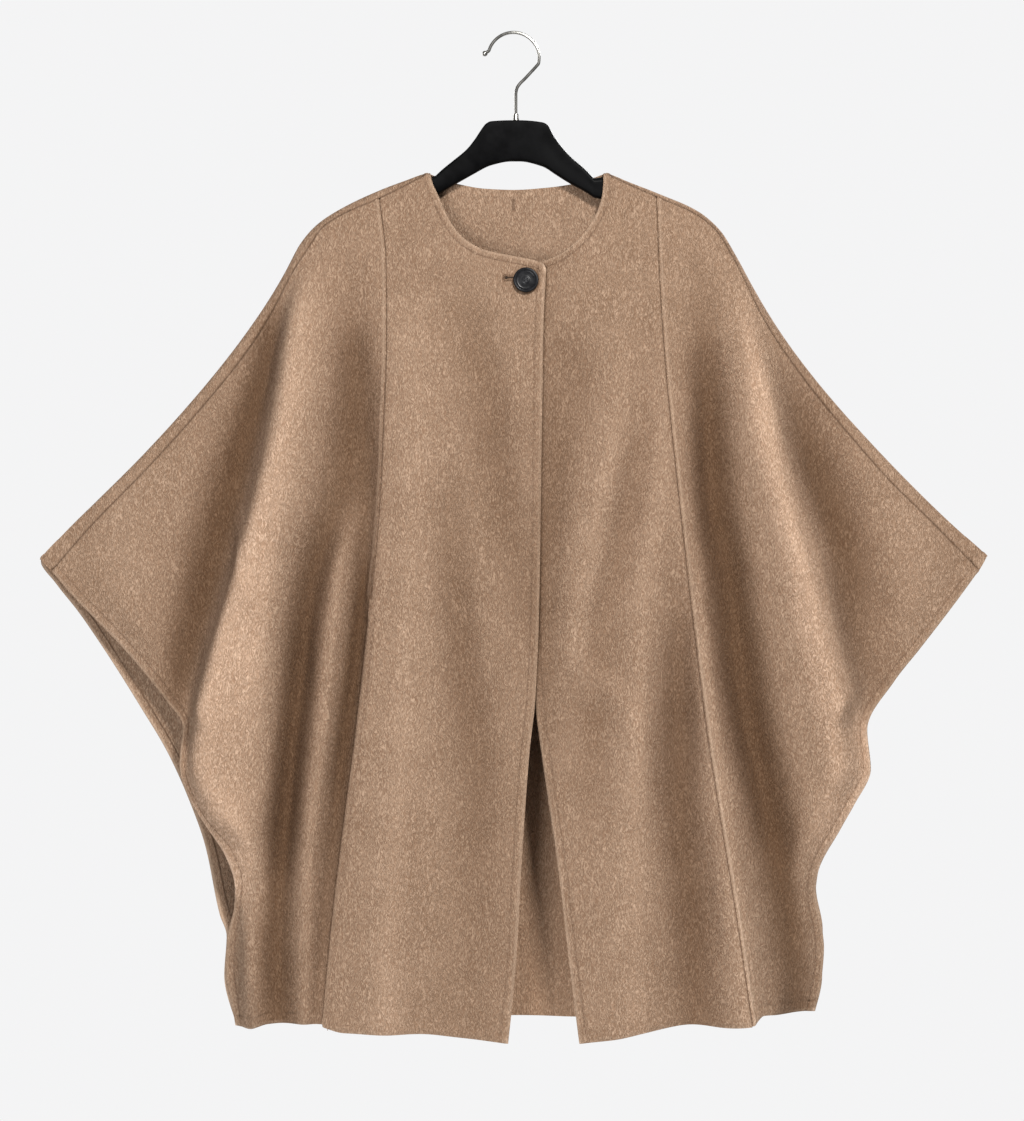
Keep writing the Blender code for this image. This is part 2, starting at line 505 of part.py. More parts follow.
def loft(name, rings, material, smooth_angle=50.0):
    """One closed body through rings of equal counts, with both ends filled."""
    rings = np.asarray(rings, dtype=float) * MM
    count, around = rings.shape[:2]
    here = np.arange(around)
    beyond = np.roll(here, -1)
    faces = []
    for ring in range(count - 1):
        first, second = ring * around, (ring + 1) * around
        faces += np.stack([first + here, first + beyond, second + beyond, second + here], axis=-1).tolist()
    half = around // 2
    for ring, turned in ((0, True), (count - 1, False)):
        for place in range(half - 1):
            quad = [place, place + 1, around - 2 - place, around - 1 - place]
            quad = [ring * around + corner for corner in quad]
            faces.append(quad[::-1] if turned else quad)
    mesh = bpy.data.meshes.new(name)
    mesh.from_pydata(rings.reshape(-1, 3).tolist(), [], faces)
    mesh.validate()
    mesh.shade_smooth()
    mesh.set_sharp_from_angle(angle=math.radians(smooth_angle))
    return new_object(name, mesh, material)


def cloth_wall(name, outer, normal, material):
    """A wall of cloth behind its outer points, lofted through one flat ring for each row."""
    inner = outer - WALL * normal
    rings = [np.concatenate([out_row, in_row[::-1]]) for out_row, in_row in zip(outer, inner)]
    return loft(name, rings, material)


def principled(name, colour, roughness, metallic=0.0):
    material = bpy.data.materials.new(name)
    material.use_nodes = True
    shader = material.node_tree.nodes["Principled BSDF"]
    shader.inputs["Base Color"].default_value = (*colour, 1.0)
    shader.inputs["Roughness"].default_value = roughness
    shader.inputs["Metallic"].default_value = metallic
    return material


def front_panel(name, lines, tops, gaps, material, tucked=False):
    shares = np.linspace(0.0, 1.0, FRONT_ROWS + 1)[1:]
    across, height = front_grid(lines, tops, TOP_DROPS, shares, gaps)
    outer, normal = front(across, height), outward(front, across, height)
    if tucked:
        outer = outer - normal * tuck(across, height)[..., None]
    return cloth_wall(name, outer[:, ::-1], normal[:, ::-1], material)


def back_panel(name, side, tops, gap_centre, material):
    wraps = np.linspace(0.0, 1.0, WRAP_ROWS + 1)
    shares = np.linspace(0.0, 1.0, BACK_ROWS + 1)[1:] ** BACK_ROW_GROWTH
    across, height, in_front = back_grid(side, tops, gap_centre, wraps, shares)
    mask = in_front[..., None]
    outer = np.where(mask, front(across, height), back(across, height))
    normal = np.where(mask, outward(front, across, height), outward(back, across, height))
    if side is BACK_SIDE_RIGHT:
        outer, normal = outer[:, ::-1], normal[:, ::-1]
    return cloth_wall(name, outer, normal, material)


def hanger_body(tops_right, tops_left, material):
    """Arms with round tops under the cloth, and a flatter yoke in the neck opening."""
    right = tops_right[(tops_right > ARM_RIGHT[0]) & (tops_right < ARM_RIGHT[1])]
    left = tops_left[(tops_left > ARM_LEFT[0]) & (tops_left < ARM_LEFT[1])]
    stations = []
    for place in np.concatenate([right, left]):
        spine, radius, level = (float(value) for value in shoulder(place))
        half = radius - WALL - HANGER_CLEARANCE
        outward_share = min(1.0, (abs(place) - ARM_START) / ARM_LENGTH)
        depth = ARM_DEPTH_NECK + (ARM_DEPTH_END - ARM_DEPTH_NECK) * outward_share
        top = spine + half / level
        stations.append((place, top, top - depth, half, half - LEAST_SIDE))
    arm_ends = (stations[0], stations[-1])
    full_round = YOKE_HALF - LEAST_SIDE
    for place, top, bottom in HANGER_YOKE:
        rounding = YOKE_ROUND + (full_round - YOKE_ROUND) * max(0.0, (abs(place) - YOKE_SQUARE) / YOKE_BLEND)
        stations.append((place, top, bottom, YOKE_HALF, min(rounding, full_round)))
    for place, near in zip(ARM_ENDS, arm_ends):
        sign = math.copysign(1.0, place)
        for step, scale in ARM_END_STEPS:
            middle = (near[1] + near[2]) / 2.0 - ARM_END_SLOPE * (abs(place) + step - abs(near[0]))
            reach = (near[1] - near[2]) / 2.0 * scale
            half = near[3] * scale
            stations.append((place + sign * step, middle + reach, middle - reach, half, half - END_SIDE))
    rings = []
    for place, top, bottom, half, rounding in sorted(stations):
        ring = []
        for turn in np.linspace(0.0, math.pi / 2.0, ROUND_STEPS):
            ring.append((half - rounding + rounding * math.sin(turn), top - rounding * (1 - math.cos(turn))))
        chamfer = min(HANGER_CHAMFER, CHAMFER_SHARE * half)
        ring.append((half, bottom + chamfer))
        ring.append((half - chamfer, bottom))
        mirrored = [(-depth, level) for depth, level in ring[::-1]]
        rings.append([(place, depth, level) for depth, level in (ring + mirrored)[::-1]])
    return loft("hanger_body", rings, material, 35.0)


def hanger_hook(material):
    """Wire that rises from the collar, swings out into a round bend, and ends in a small ball."""
    centre_x, centre_z = HOOK_CENTRE
    turns = np.radians(np.linspace(*HOOK_TURN, HOOK_STEPS))
    bend = [(centre_x + HOOK_RADIUS * math.cos(t), centre_z + HOOK_RADIUS * math.sin(t)) for t in turns]
    path = [(x, z, 1.0) for x, z in (*HOOK_STEM, *bend)]
    path += [(x, z, size) for x, z, size in HOOK_TIP]
    line = bpy.data.curves.new("hanger_hook", "CURVE")
    line.dimensions = "3D"
    line.bevel_depth = HOOK_WIRE / 2.0 * MM
    line.bevel_resolution = 2
    line.use_fill_caps = True
    spline = line.splines.new("POLY")
    spline.points.add(len(path) - 1)
    for point, (x, z, size) in zip(spline.points, path):
        point.co = (x * MM, 0.0, z * MM, 1.0)
        point.radius = size
    spline.use_smooth = True
    return new_object("hanger_hook", line, material)


def turned(name, profile, steps, material):
    """A body turned round its own Z axis from a profile of radius and height."""
    mesh = bpy.data.meshes.new(name)
    points = [(radius * MM, 0.0, height * MM) for radius, height in profile]
    mesh.from_pydata(points, [(i, i + 1) for i in range(len(points) - 1)], [])
    made = new_object(name, mesh, material)
    screw = made.modifiers.new("turn", "SCREW")
    screw.steps = screw.render_steps = steps
    screw.use_merge_vertices = True
    screw.merge_threshold = 0.00001
    return made


def hanger_collar(material):
    low, high = HANGER_COLLAR[0][1], HANGER_COLLAR[1][1]
    profile = [(0.0, high), (HANGER_COLLAR[1][0], high), (HANGER_COLLAR[0][0], low), (0.0, low)]
    made = turned("hanger_collar", profile, COLLAR_STEPS, material)
    made.location = (HOOK_STEM[0][0] * MM, 0.0, 0.0)
    return made


def button(material):
    """A thick flat button with a raised rim and a slight boss, laid on the upper front along its normal."""
    profile = [(radius, BUTTON_THICKNESS - drop) for radius, drop in BUTTON_FACE]
    profile += [(BUTTON_DIAMETER / 2.0 - inward, BUTTON_THICKNESS - drop) for inward, drop in BUTTON_EDGE]
    made = turned("button", profile + [(0.0, 0.0)], BUTTON_STEPS, material)
    across, height = (np.array(value) for value in BUTTON_PLACE)
    normal = outward(front, across, height)
    seat = front(across, height) + normal * BUTTON_LIFT
    made.rotation_mode = "QUATERNION"
    made.rotation_quaternion = mathutils.Vector(normal).to_track_quat("Z", "Y")
    made.location = mathutils.Vector(seat * MM)
    return made


def main():
    for old in list(bpy.data.objects):
        bpy.data.objects.remove(old)
    collection = bpy.data.collections.new(COLLECTION)
    bpy.context.scene.collection.children.link(collection)
    wool = principled("wool cloth", WOOL_FRONT, 0.9)
    side_wool = principled("wool cloth, sides", WOOL_SIDES, 0.9)
    back_wool = principled("wool cloth, back", WOOL_BACK, 0.9)
    plastic = principled("black plastic", BLACK_PLASTIC, 0.42)
    steel = principled("brushed steel", STEEL, 0.3, 1.0)
    horn = principled("dark button", DARK_HORN, 0.35)
    half = SEAM_GAP / 2.0

    wing_right = spaced(OVERARM_SEAM, *WING_RIGHT, SIDE_CELLS)
    shoulder_right = spaced(OVERARM_SEAM, *SHOULDER_RIGHT, SHOULDER_CELLS)
    shoulder_left = spaced(OVERARM_SEAM, *SHOULDER_LEFT, SHOULDER_CELLS)
    wing_left = spaced(OVERARM_SEAM, *WING_LEFT, SIDE_CELLS)

    right_top = OVERARM_SEAM[10:12] + NECK_FRONT_RIGHT
    left_top = NECK_FRONT_LEFT + OVERARM_SEAM[14:16]
    neck_right = joined(
        spaced(right_top, *NECK_POINT_RIGHT, NECK_POINT_CELLS_RIGHT), spaced(right_top, *NECK_RIGHT, NECK_CELLS)
    )
    neck_left = joined(
        spaced(left_top, *NECK_LEFT, NECK_CELLS), spaced(left_top, *NECK_POINT_LEFT, NECK_POINT_CELLS_LEFT)
    )
    front_panel(
        "front_centre_right", (PANEL_SEAM_RIGHT, FRONT_EDGE_TOP_LAYER, right_top, HEM_CENTRE_RIGHT),
        joined(shoulder_right, neck_right), (half, 0.0, OVERARM_GAP), wool,
    )
    front_panel(
        "front_centre_left", (FRONT_EDGE_UNDER_LAYER, PANEL_SEAM_LEFT, left_top, HEM_CENTRE_LEFT),
        joined(neck_left, shoulder_left), (0.0, half, OVERARM_GAP), wool, tucked=True,
    )
    front_panel(
        "front_side_right", (FRONT_SIDE_RIGHT, PANEL_SEAM_RIGHT, OVERARM_SEAM[:11], HEM_SIDE_RIGHT),
        wing_right, (0.0, half, OVERARM_GAP), side_wool,
    )
    front_panel(
        "front_side_left", (PANEL_SEAM_LEFT, FRONT_SIDE_LEFT, OVERARM_SEAM[15:], HEM_SIDE_LEFT),
        wing_left, (half, 0.0, OVERARM_GAP), side_wool,
    )
    back_right = joined(wing_right, shoulder_right, np.array(NECK_BACK_COLUMNS_RIGHT))
    back_left = joined(np.array(NECK_BACK_COLUMNS_LEFT), shoulder_left, wing_left)
    back_panel("back_right", BACK_SIDE_RIGHT, back_right[::-1], -half, back_wool)
    back_panel("back_left", BACK_SIDE_LEFT, back_left, half, back_wool)

    hanger_body(joined(wing_right, shoulder_right), joined(shoulder_left, wing_left), plastic)
    hanger_collar(plastic)
    hanger_hook(steel)
    button(horn)


main()
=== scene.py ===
"""Looks of the wool cape on its hanger.

The cloth repeats the part's own two surfaces at a finer step, with the front's free side edges further
forward, the back's drawn in and the wings' corners sharper. Lengths of the part are millimetres and become
metres when a mesh is made. Lamps, camera, floor and the grain of the materials are in metres. +X is to the
right as seen from the front, which faces -Y.
"""

import math
import random

import bpy
import mathutils
import numpy as np
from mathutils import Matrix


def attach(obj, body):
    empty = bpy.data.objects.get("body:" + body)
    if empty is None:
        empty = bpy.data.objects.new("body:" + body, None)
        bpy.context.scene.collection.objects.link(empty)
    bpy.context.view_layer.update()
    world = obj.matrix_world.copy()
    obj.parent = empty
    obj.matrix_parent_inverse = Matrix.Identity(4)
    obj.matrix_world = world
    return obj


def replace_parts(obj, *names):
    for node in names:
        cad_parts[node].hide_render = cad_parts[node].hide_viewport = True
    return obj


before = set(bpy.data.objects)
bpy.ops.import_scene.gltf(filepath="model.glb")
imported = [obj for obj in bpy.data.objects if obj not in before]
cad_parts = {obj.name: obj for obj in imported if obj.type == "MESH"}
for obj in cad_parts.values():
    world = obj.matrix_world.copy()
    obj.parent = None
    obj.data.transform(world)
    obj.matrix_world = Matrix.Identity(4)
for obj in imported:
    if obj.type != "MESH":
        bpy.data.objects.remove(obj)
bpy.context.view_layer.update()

MM = 0.001

# Driving sizes
WALL = 2.6
HANGER_CLEARANCE = 1.2
BUTTON_DIAMETER = 25.5
BUTTON_THICKNESS = 4.2
BUTTON_PLACE = (12.5, -252.5)
OVERLAP_STEP = WALL + 2.2
BUTTON_LIFT = 0.9
TUCK_CLEAR, TUCK_FADE = 5.0, 36.0
SIDE_REACH_FRONT, SIDE_REACH_BACK = 46.0, 40.0
TIP_SPREAD = 60.0
HALF_SEAM_GAP, OVERARM_GAP = 0.01, 0.02
WING_RIGHT, SHOULDER_RIGHT = (-468, -136), (-136, -85)
WING_LEFT, SHOULDER_LEFT = (145, 472), (92, 145)

# Outline of the shoulders and wings' upper edges, seen from the front: across, height
RIDGE = (
    (-480, -532), (-447, -498), (-371, -422), (-292, -331), (-247, -268), (-232, -243), (-217, -214),
    (-201, -195), (-183, -182), (-141, -161), (-110, -149), (-85, -141), (0, -130),
    (92, -141), (118, -151), (149, -163), (187, -180), (210, -200), (225, -224), (240, -253),
    (255, -279), (291, -331), (369, -422), (445, -498), (481, -530),
)

# Half the depth of the rounded shoulder line: across, radius
ROUND = (
    (-480, 5.0), (-330, 8.0), (-214, 12.1), (-85, 10.0), (92, 10.0), (218, 12.1), (330, 8.0), (481, 5.0),
)

# Seam that joins front to back, just forward of the outline: across, height
OVERARM_SEAM = (
    (-468, -545), (-433, -505), (-368, -438), (-317, -381), (-267, -319), (-241, -278), (-219, -237),
    (-203, -211), (-194, -198), (-173, -184), (-136, -168), (-112, -156), (-85, -141),
    (92, -141), (118, -154), (145, -166), (185, -184), (205, -200), (224, -231), (249, -285),
    (290, -345), (340, -407), (382, -455), (419, -491), (472, -544),
)

# Neck edge of the front and of the back, the right one rounded at its corner: across, height
NECK_FRONT_RIGHT = (
    (-85, -141), (-82, -152), (-77, -163), (-66, -188), (-51, -208), (-29, -221), (-1, -227), (21, -231.5),
    (27, -233.2), (31, -236), (33, -240.5),
)
NECK_FRONT_LEFT = (
    (-8, -230), (24, -232), (43, -226), (61, -214), (74, -200), (86, -178), (90, -163), (92, -141),
)
NECK_BACK = ((-85, -141), (-57, -151), (-27, -156), (1, -157), (32, -155), (61, -151), (92, -141))

# Lines that run down the cape: height, across
PANEL_SEAM_RIGHT = (
    (-1010, -193), (-874, -180), (-768, -167), (-660, -153), (-585, -145), (-494, -136),
    (-403, -131), (-314, -128), (-231, -129), (-168, -136), (-140, -139),
)
PANEL_SEAM_LEFT = (
    (-1010, 240), (-874, 220), (-783, 205), (-649, 186), (-534, 173), (-443, 163),
    (-349, 154), (-256, 148), (-166, 145), (-140, 144),
)
FRONT_EDGE_TOP_LAYER = (
    (-1020, -6), (-940, 2), (-833, 8), (-723, 16), (-680, 21), (-594, 25), (-424, 28), (-293, 30), (-234, 33),
)
FRONT_EDGE_UNDER_LAYER = (
    (-1020, 66), (-940, 56), (-838, 44), (-777, 35), (-681, 23), (-534, 14), (-393, 4), (-234, -8),
)
CENTRE_BACK = ((-1010, 4), (-600, 0), (-157, -2))

# Free side edge of the front, from the wing's tip to the hem: height, across, depth forward
FRONT_SIDE_RIGHT = (
    (-1012, -280, 3.0), (-980, -286, 4.0), (-953, -291, 5.0), (-915, -289, 10.0), (-880, -278, 20.0),
    (-857, -272, 27.0), (-831, -278, 33.0), (-788, -312, 40.0), (-758, -330, 33.0), (-741, -334, 34.0),
    (-704, -332, 20.0), (-676, -351, 13.0), (-623, -395, 11.0), (-567, -449, 9.0), (-549, -464.6, 6.6),
    (-545, -468, 6.0), (-140, -468, 5.0),
)
FRONT_SIDE_LEFT = (
    (-1000, 303, 3.0), (-958, 312, 3.0), (-928, 314, 5.0), (-909, 312, 8.0), (-867, 304, 18.0),
    (-852, 305, 23.0), (-803, 327, 35.0), (-779, 340, 37.0), (-743, 358, 31.0), (-706, 355, 26.0),
    (-656, 385, 15.0), (-625, 410, 12.0), (-584, 442, 10.0), (-549, 468.3, 6.4), (-544, 472, 6.0),
    (-140, 472, 5.0),
)

# Free side edge of the back: height, across, depth backward
BACK_SIDE_RIGHT = (
    (-1010, -281, 3.0), (-955, -294, 3.0), (-916, -292, 4.0), (-895, -299, 7.0), (-822, -315, 12.0),
    (-777, -331, 12.0), (-732, -351, 11.0), (-681, -381, 10.0), (-624, -417, 9.0), (-586, -443, 8.0),
    (-558, -465, 7.0), (-533, -481, 4.9), (-140, -481, 4.9),
)
BACK_SIDE_LEFT = (
    (-1000, 305, 3.0), (-958, 314, 3.0), (-909, 315, 5.0), (-867, 309, 8.0), (-852, 310, 9.0),
    (-803, 331, 10.0), (-743, 359, 10.0), (-706, 358, 10.0), (-656, 387, 9.0), (-584, 441, 8.0),
    (-552, 462, 6.4), (-536, 474, 5.3), (-531, 481, 4.9), (-140, 481, 4.9),
)

# Hem: across, height
HEM_SIDE_RIGHT = ((-280, -1006), (-262, -1007), (-244, -1001), (-215, -999), (-193, -999))
HEM_CENTRE_RIGHT = ((-193, -1001), (-169, -1007), (-94, -1008), (-49, -1013), (-6, -1018))
HEM_CENTRE_LEFT = ((66, -1018), (101, -1013), (131, -1006), (176, -1000), (206, -1002), (240, -999))
HEM_SIDE_LEFT = ((240, -998), (251, -989), (281, -991), (304, -991))
HEM_BACK = ((-282, -1001), (-200, -998), (0, -1000), (200, -997), (305, -992))

# Where the body's swell ends and the flat wing begins: height, across, width of the change
BODY_EDGE_RIGHT = (
    (-1010, -330, 30), (-800, -338, 30), (-700, -322, 26), (-640, -308, 26), (-500, -268, 26),
    (-380, -243, 24), (-300, -230, 24), (-250, -224, 24),
)
BODY_EDGE_LEFT = (
    (-1010, 345, 40), (-800, 365, 44), (-700, 345, 46), (-600, 318, 46), (-480, 285, 46),
    (-380, 262, 40), (-300, 246, 36), (-250, 238, 34),
)

# Swell of the two surfaces away from the shoulder line: at the wings, on the body, and the drop that makes it
FRONT_SWELL = (14.0, 35.0, 190.0)
BACK_SWELL = (3.0, 13.0, 210.0)
SWELL_POWER = 1.2

# Folds of the front. Each has a sideways lean for each unit of its rise, and rows of
# height, across, rise (forward, or backward if negative), reach to its left, reach to its right
FRONT_FOLDS = (
    ("outer fold, right", -0.7, (
        (-1010, -262, 8, 14, 20), (-900, -260, 10, 16, 26), (-820, -278, 18, 22, 28),
        (-740, -300, 23, 22, 32), (-640, -278, 25, 26, 32), (-500, -239, 23, 26, 30),
        (-380, -214, 20, 26, 28), (-290, -204, 15, 26, 26), (-225, -198, 0, 20, 22))),
    ("groove behind the outer fold, right", 0.0, (
        (-740, -356, -4, 24, 24), (-640, -330, -11, 28, 22), (-520, -300, -12, 32, 22),
        (-420, -272, -13, 28, 18), (-320, -243, -12, 20, 14), (-250, -228, 0, 14, 12))),
    ("broad hollow, right", 0.0, (
        (-1010, -238, -20, 20, 18), (-880, -235, -22, 20, 15), (-760, -226, -24, 20, 14),
        (-650, -214, -24, 20, 14), (-560, -202, -21, 22, 16), (-440, -168, -17, 26, 20),
        (-340, -161, -17, 18, 20), (-270, -166, -6, 18, 20), (-220, -170, 0, 18, 20))),
    ("narrow fold, right", 0.0, (
        (-1010, -208, 5, 12, 10), (-870, -207, 7, 14, 10), (-735, -195, 8, 12, 10), (-615, -182, 8, 15, 10),
        (-530, -176, 6, 14, 10), (-430, -170, 0, 10, 10))),
    ("hollow beside the panel seam, right", 0.0, (
        (-1010, -200, -5, 9, 12), (-860, -185, -6, 10, 12), (-740, -172, -7, 10, 10),
        (-620, -155, -9, 10, 9), (-520, -149, -9, 10, 9), (-420, -146, -6, 10, 9), (-340, -146, 0, 10, 9))),
    ("upper hollow beside the front edge, right", 0.0, (
        (-660, 16, 0, 22, 20), (-600, 11, -5, 24, 20), (-530, 1, -8, 26, 20), (-450, -12, -10, 26, 20),
        (-370, -24, -10, 24, 22), (-300, -38, -7, 24, 22), (-245, -50, 0, 22, 22))),
    ("lower hollow beside the front edge, right", 0.0, (
        (-1010, -44, -4, 28, 28), (-930, -40, -5, 28, 26), (-830, -34, -8, 24, 24),
        (-740, -36, -10, 24, 24), (-660, -48, -12, 20, 24), (-600, -54, -11, 20, 20),
        (-500, -64, -8, 20, 18), (-420, -74, 0, 20, 18))),
    ("panel fold, right", 0.0, (
        (-1010, -128, 13, 26, 22), (-920, -124, 12, 26, 22), (-800, -116, 11, 28, 24),
        (-600, -106, 9, 26, 28), (-420, -100, 9, 24, 28), (-320, -104, 5, 26, 28),
        (-250, -104, 0, 26, 28))),
    ("hollow beside the front edge, left", 0.0, (
        (-780, 44, 0, 22, 26), (-640, 34, -4, 18, 24), (-560, 32, -6, 18, 22), (-460, 44, -8, 20, 24),
        (-360, 60, -8, 22, 26), (-270, 68, 0, 22, 26))),
    ("panel fold, left", 0.0, (
        (-1010, 118, 9, 34, 26), (-800, 120, 8, 30, 22), (-700, 118, 6, 26, 20), (-620, 68, 6, 24, 20),
        (-540, 76, 8, 22, 22), (-460, 92, 9, 22, 22), (-370, 110, 6, 24, 24), (-270, 112, 0, 24, 24))),
    ("crossing hollow, left", 0.0, (
        (-840, 84, 0, 18, 18), (-740, 86, -6, 18, 18), (-620, 87, -8, 18, 16), (-520, 106, -7, 16, 16),
        (-430, 124, -7, 16, 16), (-340, 130, -4, 16, 16), (-280, 130, 0, 16, 16))),
    ("seam fold, left", 0.0, (
        (-800, 128, 2, 18, 16), (-700, 127, 9, 18, 16), (-620, 126, 9, 18, 16), (-500, 140, 7, 15, 15),
        (-420, 148, 5, 15, 15), (-340, 150, 0, 15, 15))),
    ("deep hollow by the seam, left", 0.0, (
        (-1010, 188, -13, 26, 22), (-870, 178, -16, 24, 22), (-770, 168, -16, 22, 20),
        (-660, 167, -14, 20, 17), (-570, 172, -8, 18, 15), (-480, 170, 0, 16, 15))),
    ("side fold, left", 0.0, (
        (-1010, 236, 14, 23, 19), (-930, 229, 14, 23, 18), (-860, 220, 12, 22, 18), (-760, 208, 12, 19, 17),
        (-660, 193, 12, 14, 14), (-540, 180, 7, 14, 16), (-430, 172, 3, 14, 16), (-360, 168, 0, 14, 16))),
    ("broad hollow, left", 0.0, (
        (-1010, 290, -15, 22, 20), (-900, 278, -22, 24, 22), (-820, 264, -25, 24, 24),
        (-740, 246, -26, 22, 26), (-660, 230, -27, 22, 26), (-560, 216, -27, 22, 24),
        (-460, 200, -26, 20, 24), (-360, 196, -19, 19, 22), (-290, 195, -9, 20, 22),
        (-220, 194, 0, 20, 22))),
    ("outer fold, left", 0.1, (
        (-1000, 318, 4, 20, 26), (-870, 308, 12, 24, 26), (-760, 334, 24, 30, 28), (-700, 328, 29, 30, 26),
        (-620, 308, 31, 28, 24), (-540, 288, 30, 26, 22), (-440, 262, 26, 24, 22), (-360, 248, 20, 24, 24),
        (-290, 232, 12, 22, 24), (-225, 222, 0, 20, 22))),
    ("wing hollow, left", 0.0, (
        (-690, 386, 0, 24, 26), (-580, 356, -6, 26, 30), (-480, 324, -9, 24, 32), (-400, 296, -8, 20, 28),
        (-330, 274, 0, 16, 22))),
    ("wing swell, right", 0.0, (
        (-700, -380, 0, 30, 30), (-600, -396, 5, 40, 34), (-500, -380, 6, 45, 34),
        (-400, -320, 0, 40, 40))),
    ("wing swell, left", 0.0, (
        (-700, 410, 0, 30, 30), (-600, 414, 5, 34, 40), (-480, 388, 5, 34, 40), (-380, 330, 0, 34, 40))),
)

# Sharp fall of the side panel away from the panel seam: height, fall
SEAM_FALL_RIGHT = (
    (-1010, 10), (-880, 12), (-760, 14), (-640, 14), (-560, 11), (-460, 7), (-360, 3), (-300, 0),
)
SEAM_FALL_REACH, SEAM_FALL_LENGTH = 9.0, 34.0

# Folds of the back, with rise away from the body
BACK_FOLDS = (
    ("outer fold, right", 0.2, (
        (-1010, -262, 5, 24, 34), (-820, -272, 9, 30, 38), (-640, -262, 11, 34, 38),
        (-480, -240, 9, 32, 36), (-340, -222, 5, 26, 30), (-250, -208, 0, 24, 24))),
    ("hollow, right", 0.0, (
        (-1010, -196, -8, 30, 28), (-760, -186, -9, 32, 28), (-560, -172, -8, 32, 26),
        (-380, -158, -5, 28, 26), (-270, -150, 0, 26, 26))),
    ("middle fold, right", 0.0, (
        (-1010, -124, 8, 32, 30), (-760, -112, 8, 32, 30), (-540, -104, 6, 30, 30),
        (-360, -96, 0, 30, 30))),
    ("inner hollow, right", 0.0, (
        (-1010, -56, -6, 26, 30), (-740, -50, -6, 26, 30), (-520, -46, -4, 26, 30),
        (-360, -44, 0, 26, 30))),
    ("centre fold", 0.0, (
        (-1010, 8, 6, 34, 34), (-740, 4, 5, 34, 34), (-500, 0, 3, 34, 34), (-330, 0, 0, 34, 34))),
    ("inner hollow, left", 0.0, (
        (-1010, 72, -7, 30, 28), (-700, 62, -7, 30, 28), (-500, 58, -5, 30, 28), (-340, 52, 0, 30, 28))),
    ("middle fold, left", 0.0, (
        (-1010, 140, 9, 30, 34), (-780, 130, 9, 30, 34), (-560, 118, 7, 30, 32), (-370, 104, 0, 30, 30))),
    ("hollow, left", 0.0, (
        (-1010, 214, -8, 30, 30), (-780, 204, -9, 30, 32), (-600, 190, -8, 30, 32), (-400, 168, -5, 26, 28),
        (-270, 158, 0, 26, 26))),
    ("outer fold, left", -0.2, (
        (-1000, 290, 5, 30, 24), (-820, 296, 9, 36, 30), (-660, 292, 11, 38, 34), (-500, 262, 9, 36, 32),
        (-350, 236, 5, 30, 26), (-250, 216, 0, 24, 24))),
)

# Change of the normal from the round shoulder line to the slope below it
NORMAL_BLEND_FROM, NORMAL_BLEND_OVER, NORMAL_STEP = 0.2, 0.3, 1.5

# Back panel: how far past the shoulder line's top, and past its own start, the wrapped rows end
WRAP_BEYOND, WRAP_LEAST, LEAST_START = 12.0, 20.0, -1e-6

# Hanger arms: stretches under the cloth, depth from top to bottom, and the ends, as step outward and scale
ARM_RIGHT, ARM_LEFT = (-192.0, -86.0), (93.0, 196.0)
ARM_START, ARM_LENGTH = 85.0, 110.0
ARM_DEPTH_NECK, ARM_DEPTH_END = 22.0, 30.0
ARM_ENDS, ARM_END_SLOPE = (-194.0, 198.0), 1.1
ARM_END_STEPS = ((0.0, 0.9), (4.5, 0.7), (7.5, 0.35))

# Hanger edges, and its yoke seen from the front: across, top, bottom
YOKE_HALF, YOKE_ROUND, HANGER_CHAMFER = 5.8, 2.5, 2.5
YOKE_SQUARE, YOKE_BLEND = 45.0, 41.0
LEAST_SIDE, END_SIDE, CHAMFER_SHARE = 0.4, 0.2, 0.4
HANGER_STEPS, YOKE_STEPS, ROUND_STEPS = 45, 150, 12
HANGER_YOKE = (
    (-79, -144, -164), (-72, -137.5, -160), (-62, -129.5, -154), (-47, -117, -145.5), (-39, -107, -141),
    (-31, -95, -136.5), (-28, -91.5, -135), (-23, -89, -133), (-2, -88, -129), (6, -88, -129),
    (29, -90, -134), (35, -93, -137), (40, -102, -140.5), (50, -116, -147), (60, -126.5, -153),
    (73, -137.5, -160), (82, -146.5, -166),
)

# Hook: its stem and tip across and height, the bend between them, thickness of wire and ball, fineness
HOOK_STEM = (
    (2.4, -81.0), (2.4, -61.0), (3.4, -55.5), (6.2, -50.8), (11.0, -46.0), (18.0, -38.5), (23.0, -33.0),
)
HOOK_CENTRE, HOOK_RADIUS, HOOK_TURN, HOOK_TIP = (0.0, -24.4), 26.0, (-12.0, 163.0), (-27.2, -18.6)
HOOK_WIRE, HOOK_BALL, BALL_TURN = 3.2, 2.75, 0.97 * math.pi
BEND_STEPS, HOOK_POINTS, BALL_STEPS, WIRE_SIDES = 60, 260, 24, 28

# Camera of the photograph: 1 mm for each pixel of 1024 x 1121 at the front cloth's depth
PHOTO_HEIGHT, SENSOR = 1.121, 36.0
CAMERA_DISTANCE, CLOTH_DEPTH = 3.0, 0.045
CAMERA_ACROSS, CAMERA_HEIGHT = -0.0015, -0.5344

# Rows and columns of the fine cloth, how evenly they lie, and points along a line
DROPS = (0.0, 0.8, 1.8, 3.0, 4.4, 6.0, 7.4, 8.6, 10.0, 12.0, 14.5, 17.5)
FRONT_ROWS, BACK_ROWS, WRAP_ROWS = 180, 170, 24
CENTRE_COLUMNS, SIDE_COLUMNS, SHOULDER_COLUMNS, BACK_NECK_COLUMNS = 84, 108, 24, 42
EVEN_ROWS, EVEN_SIDE, EVEN_NECK = 0.7, 0.5, 0.6
FINE_POINTS, DOWN_POINTS, ACROSS_POINTS, POINTS_AT_ONCE = 400, 250, 200, 4000

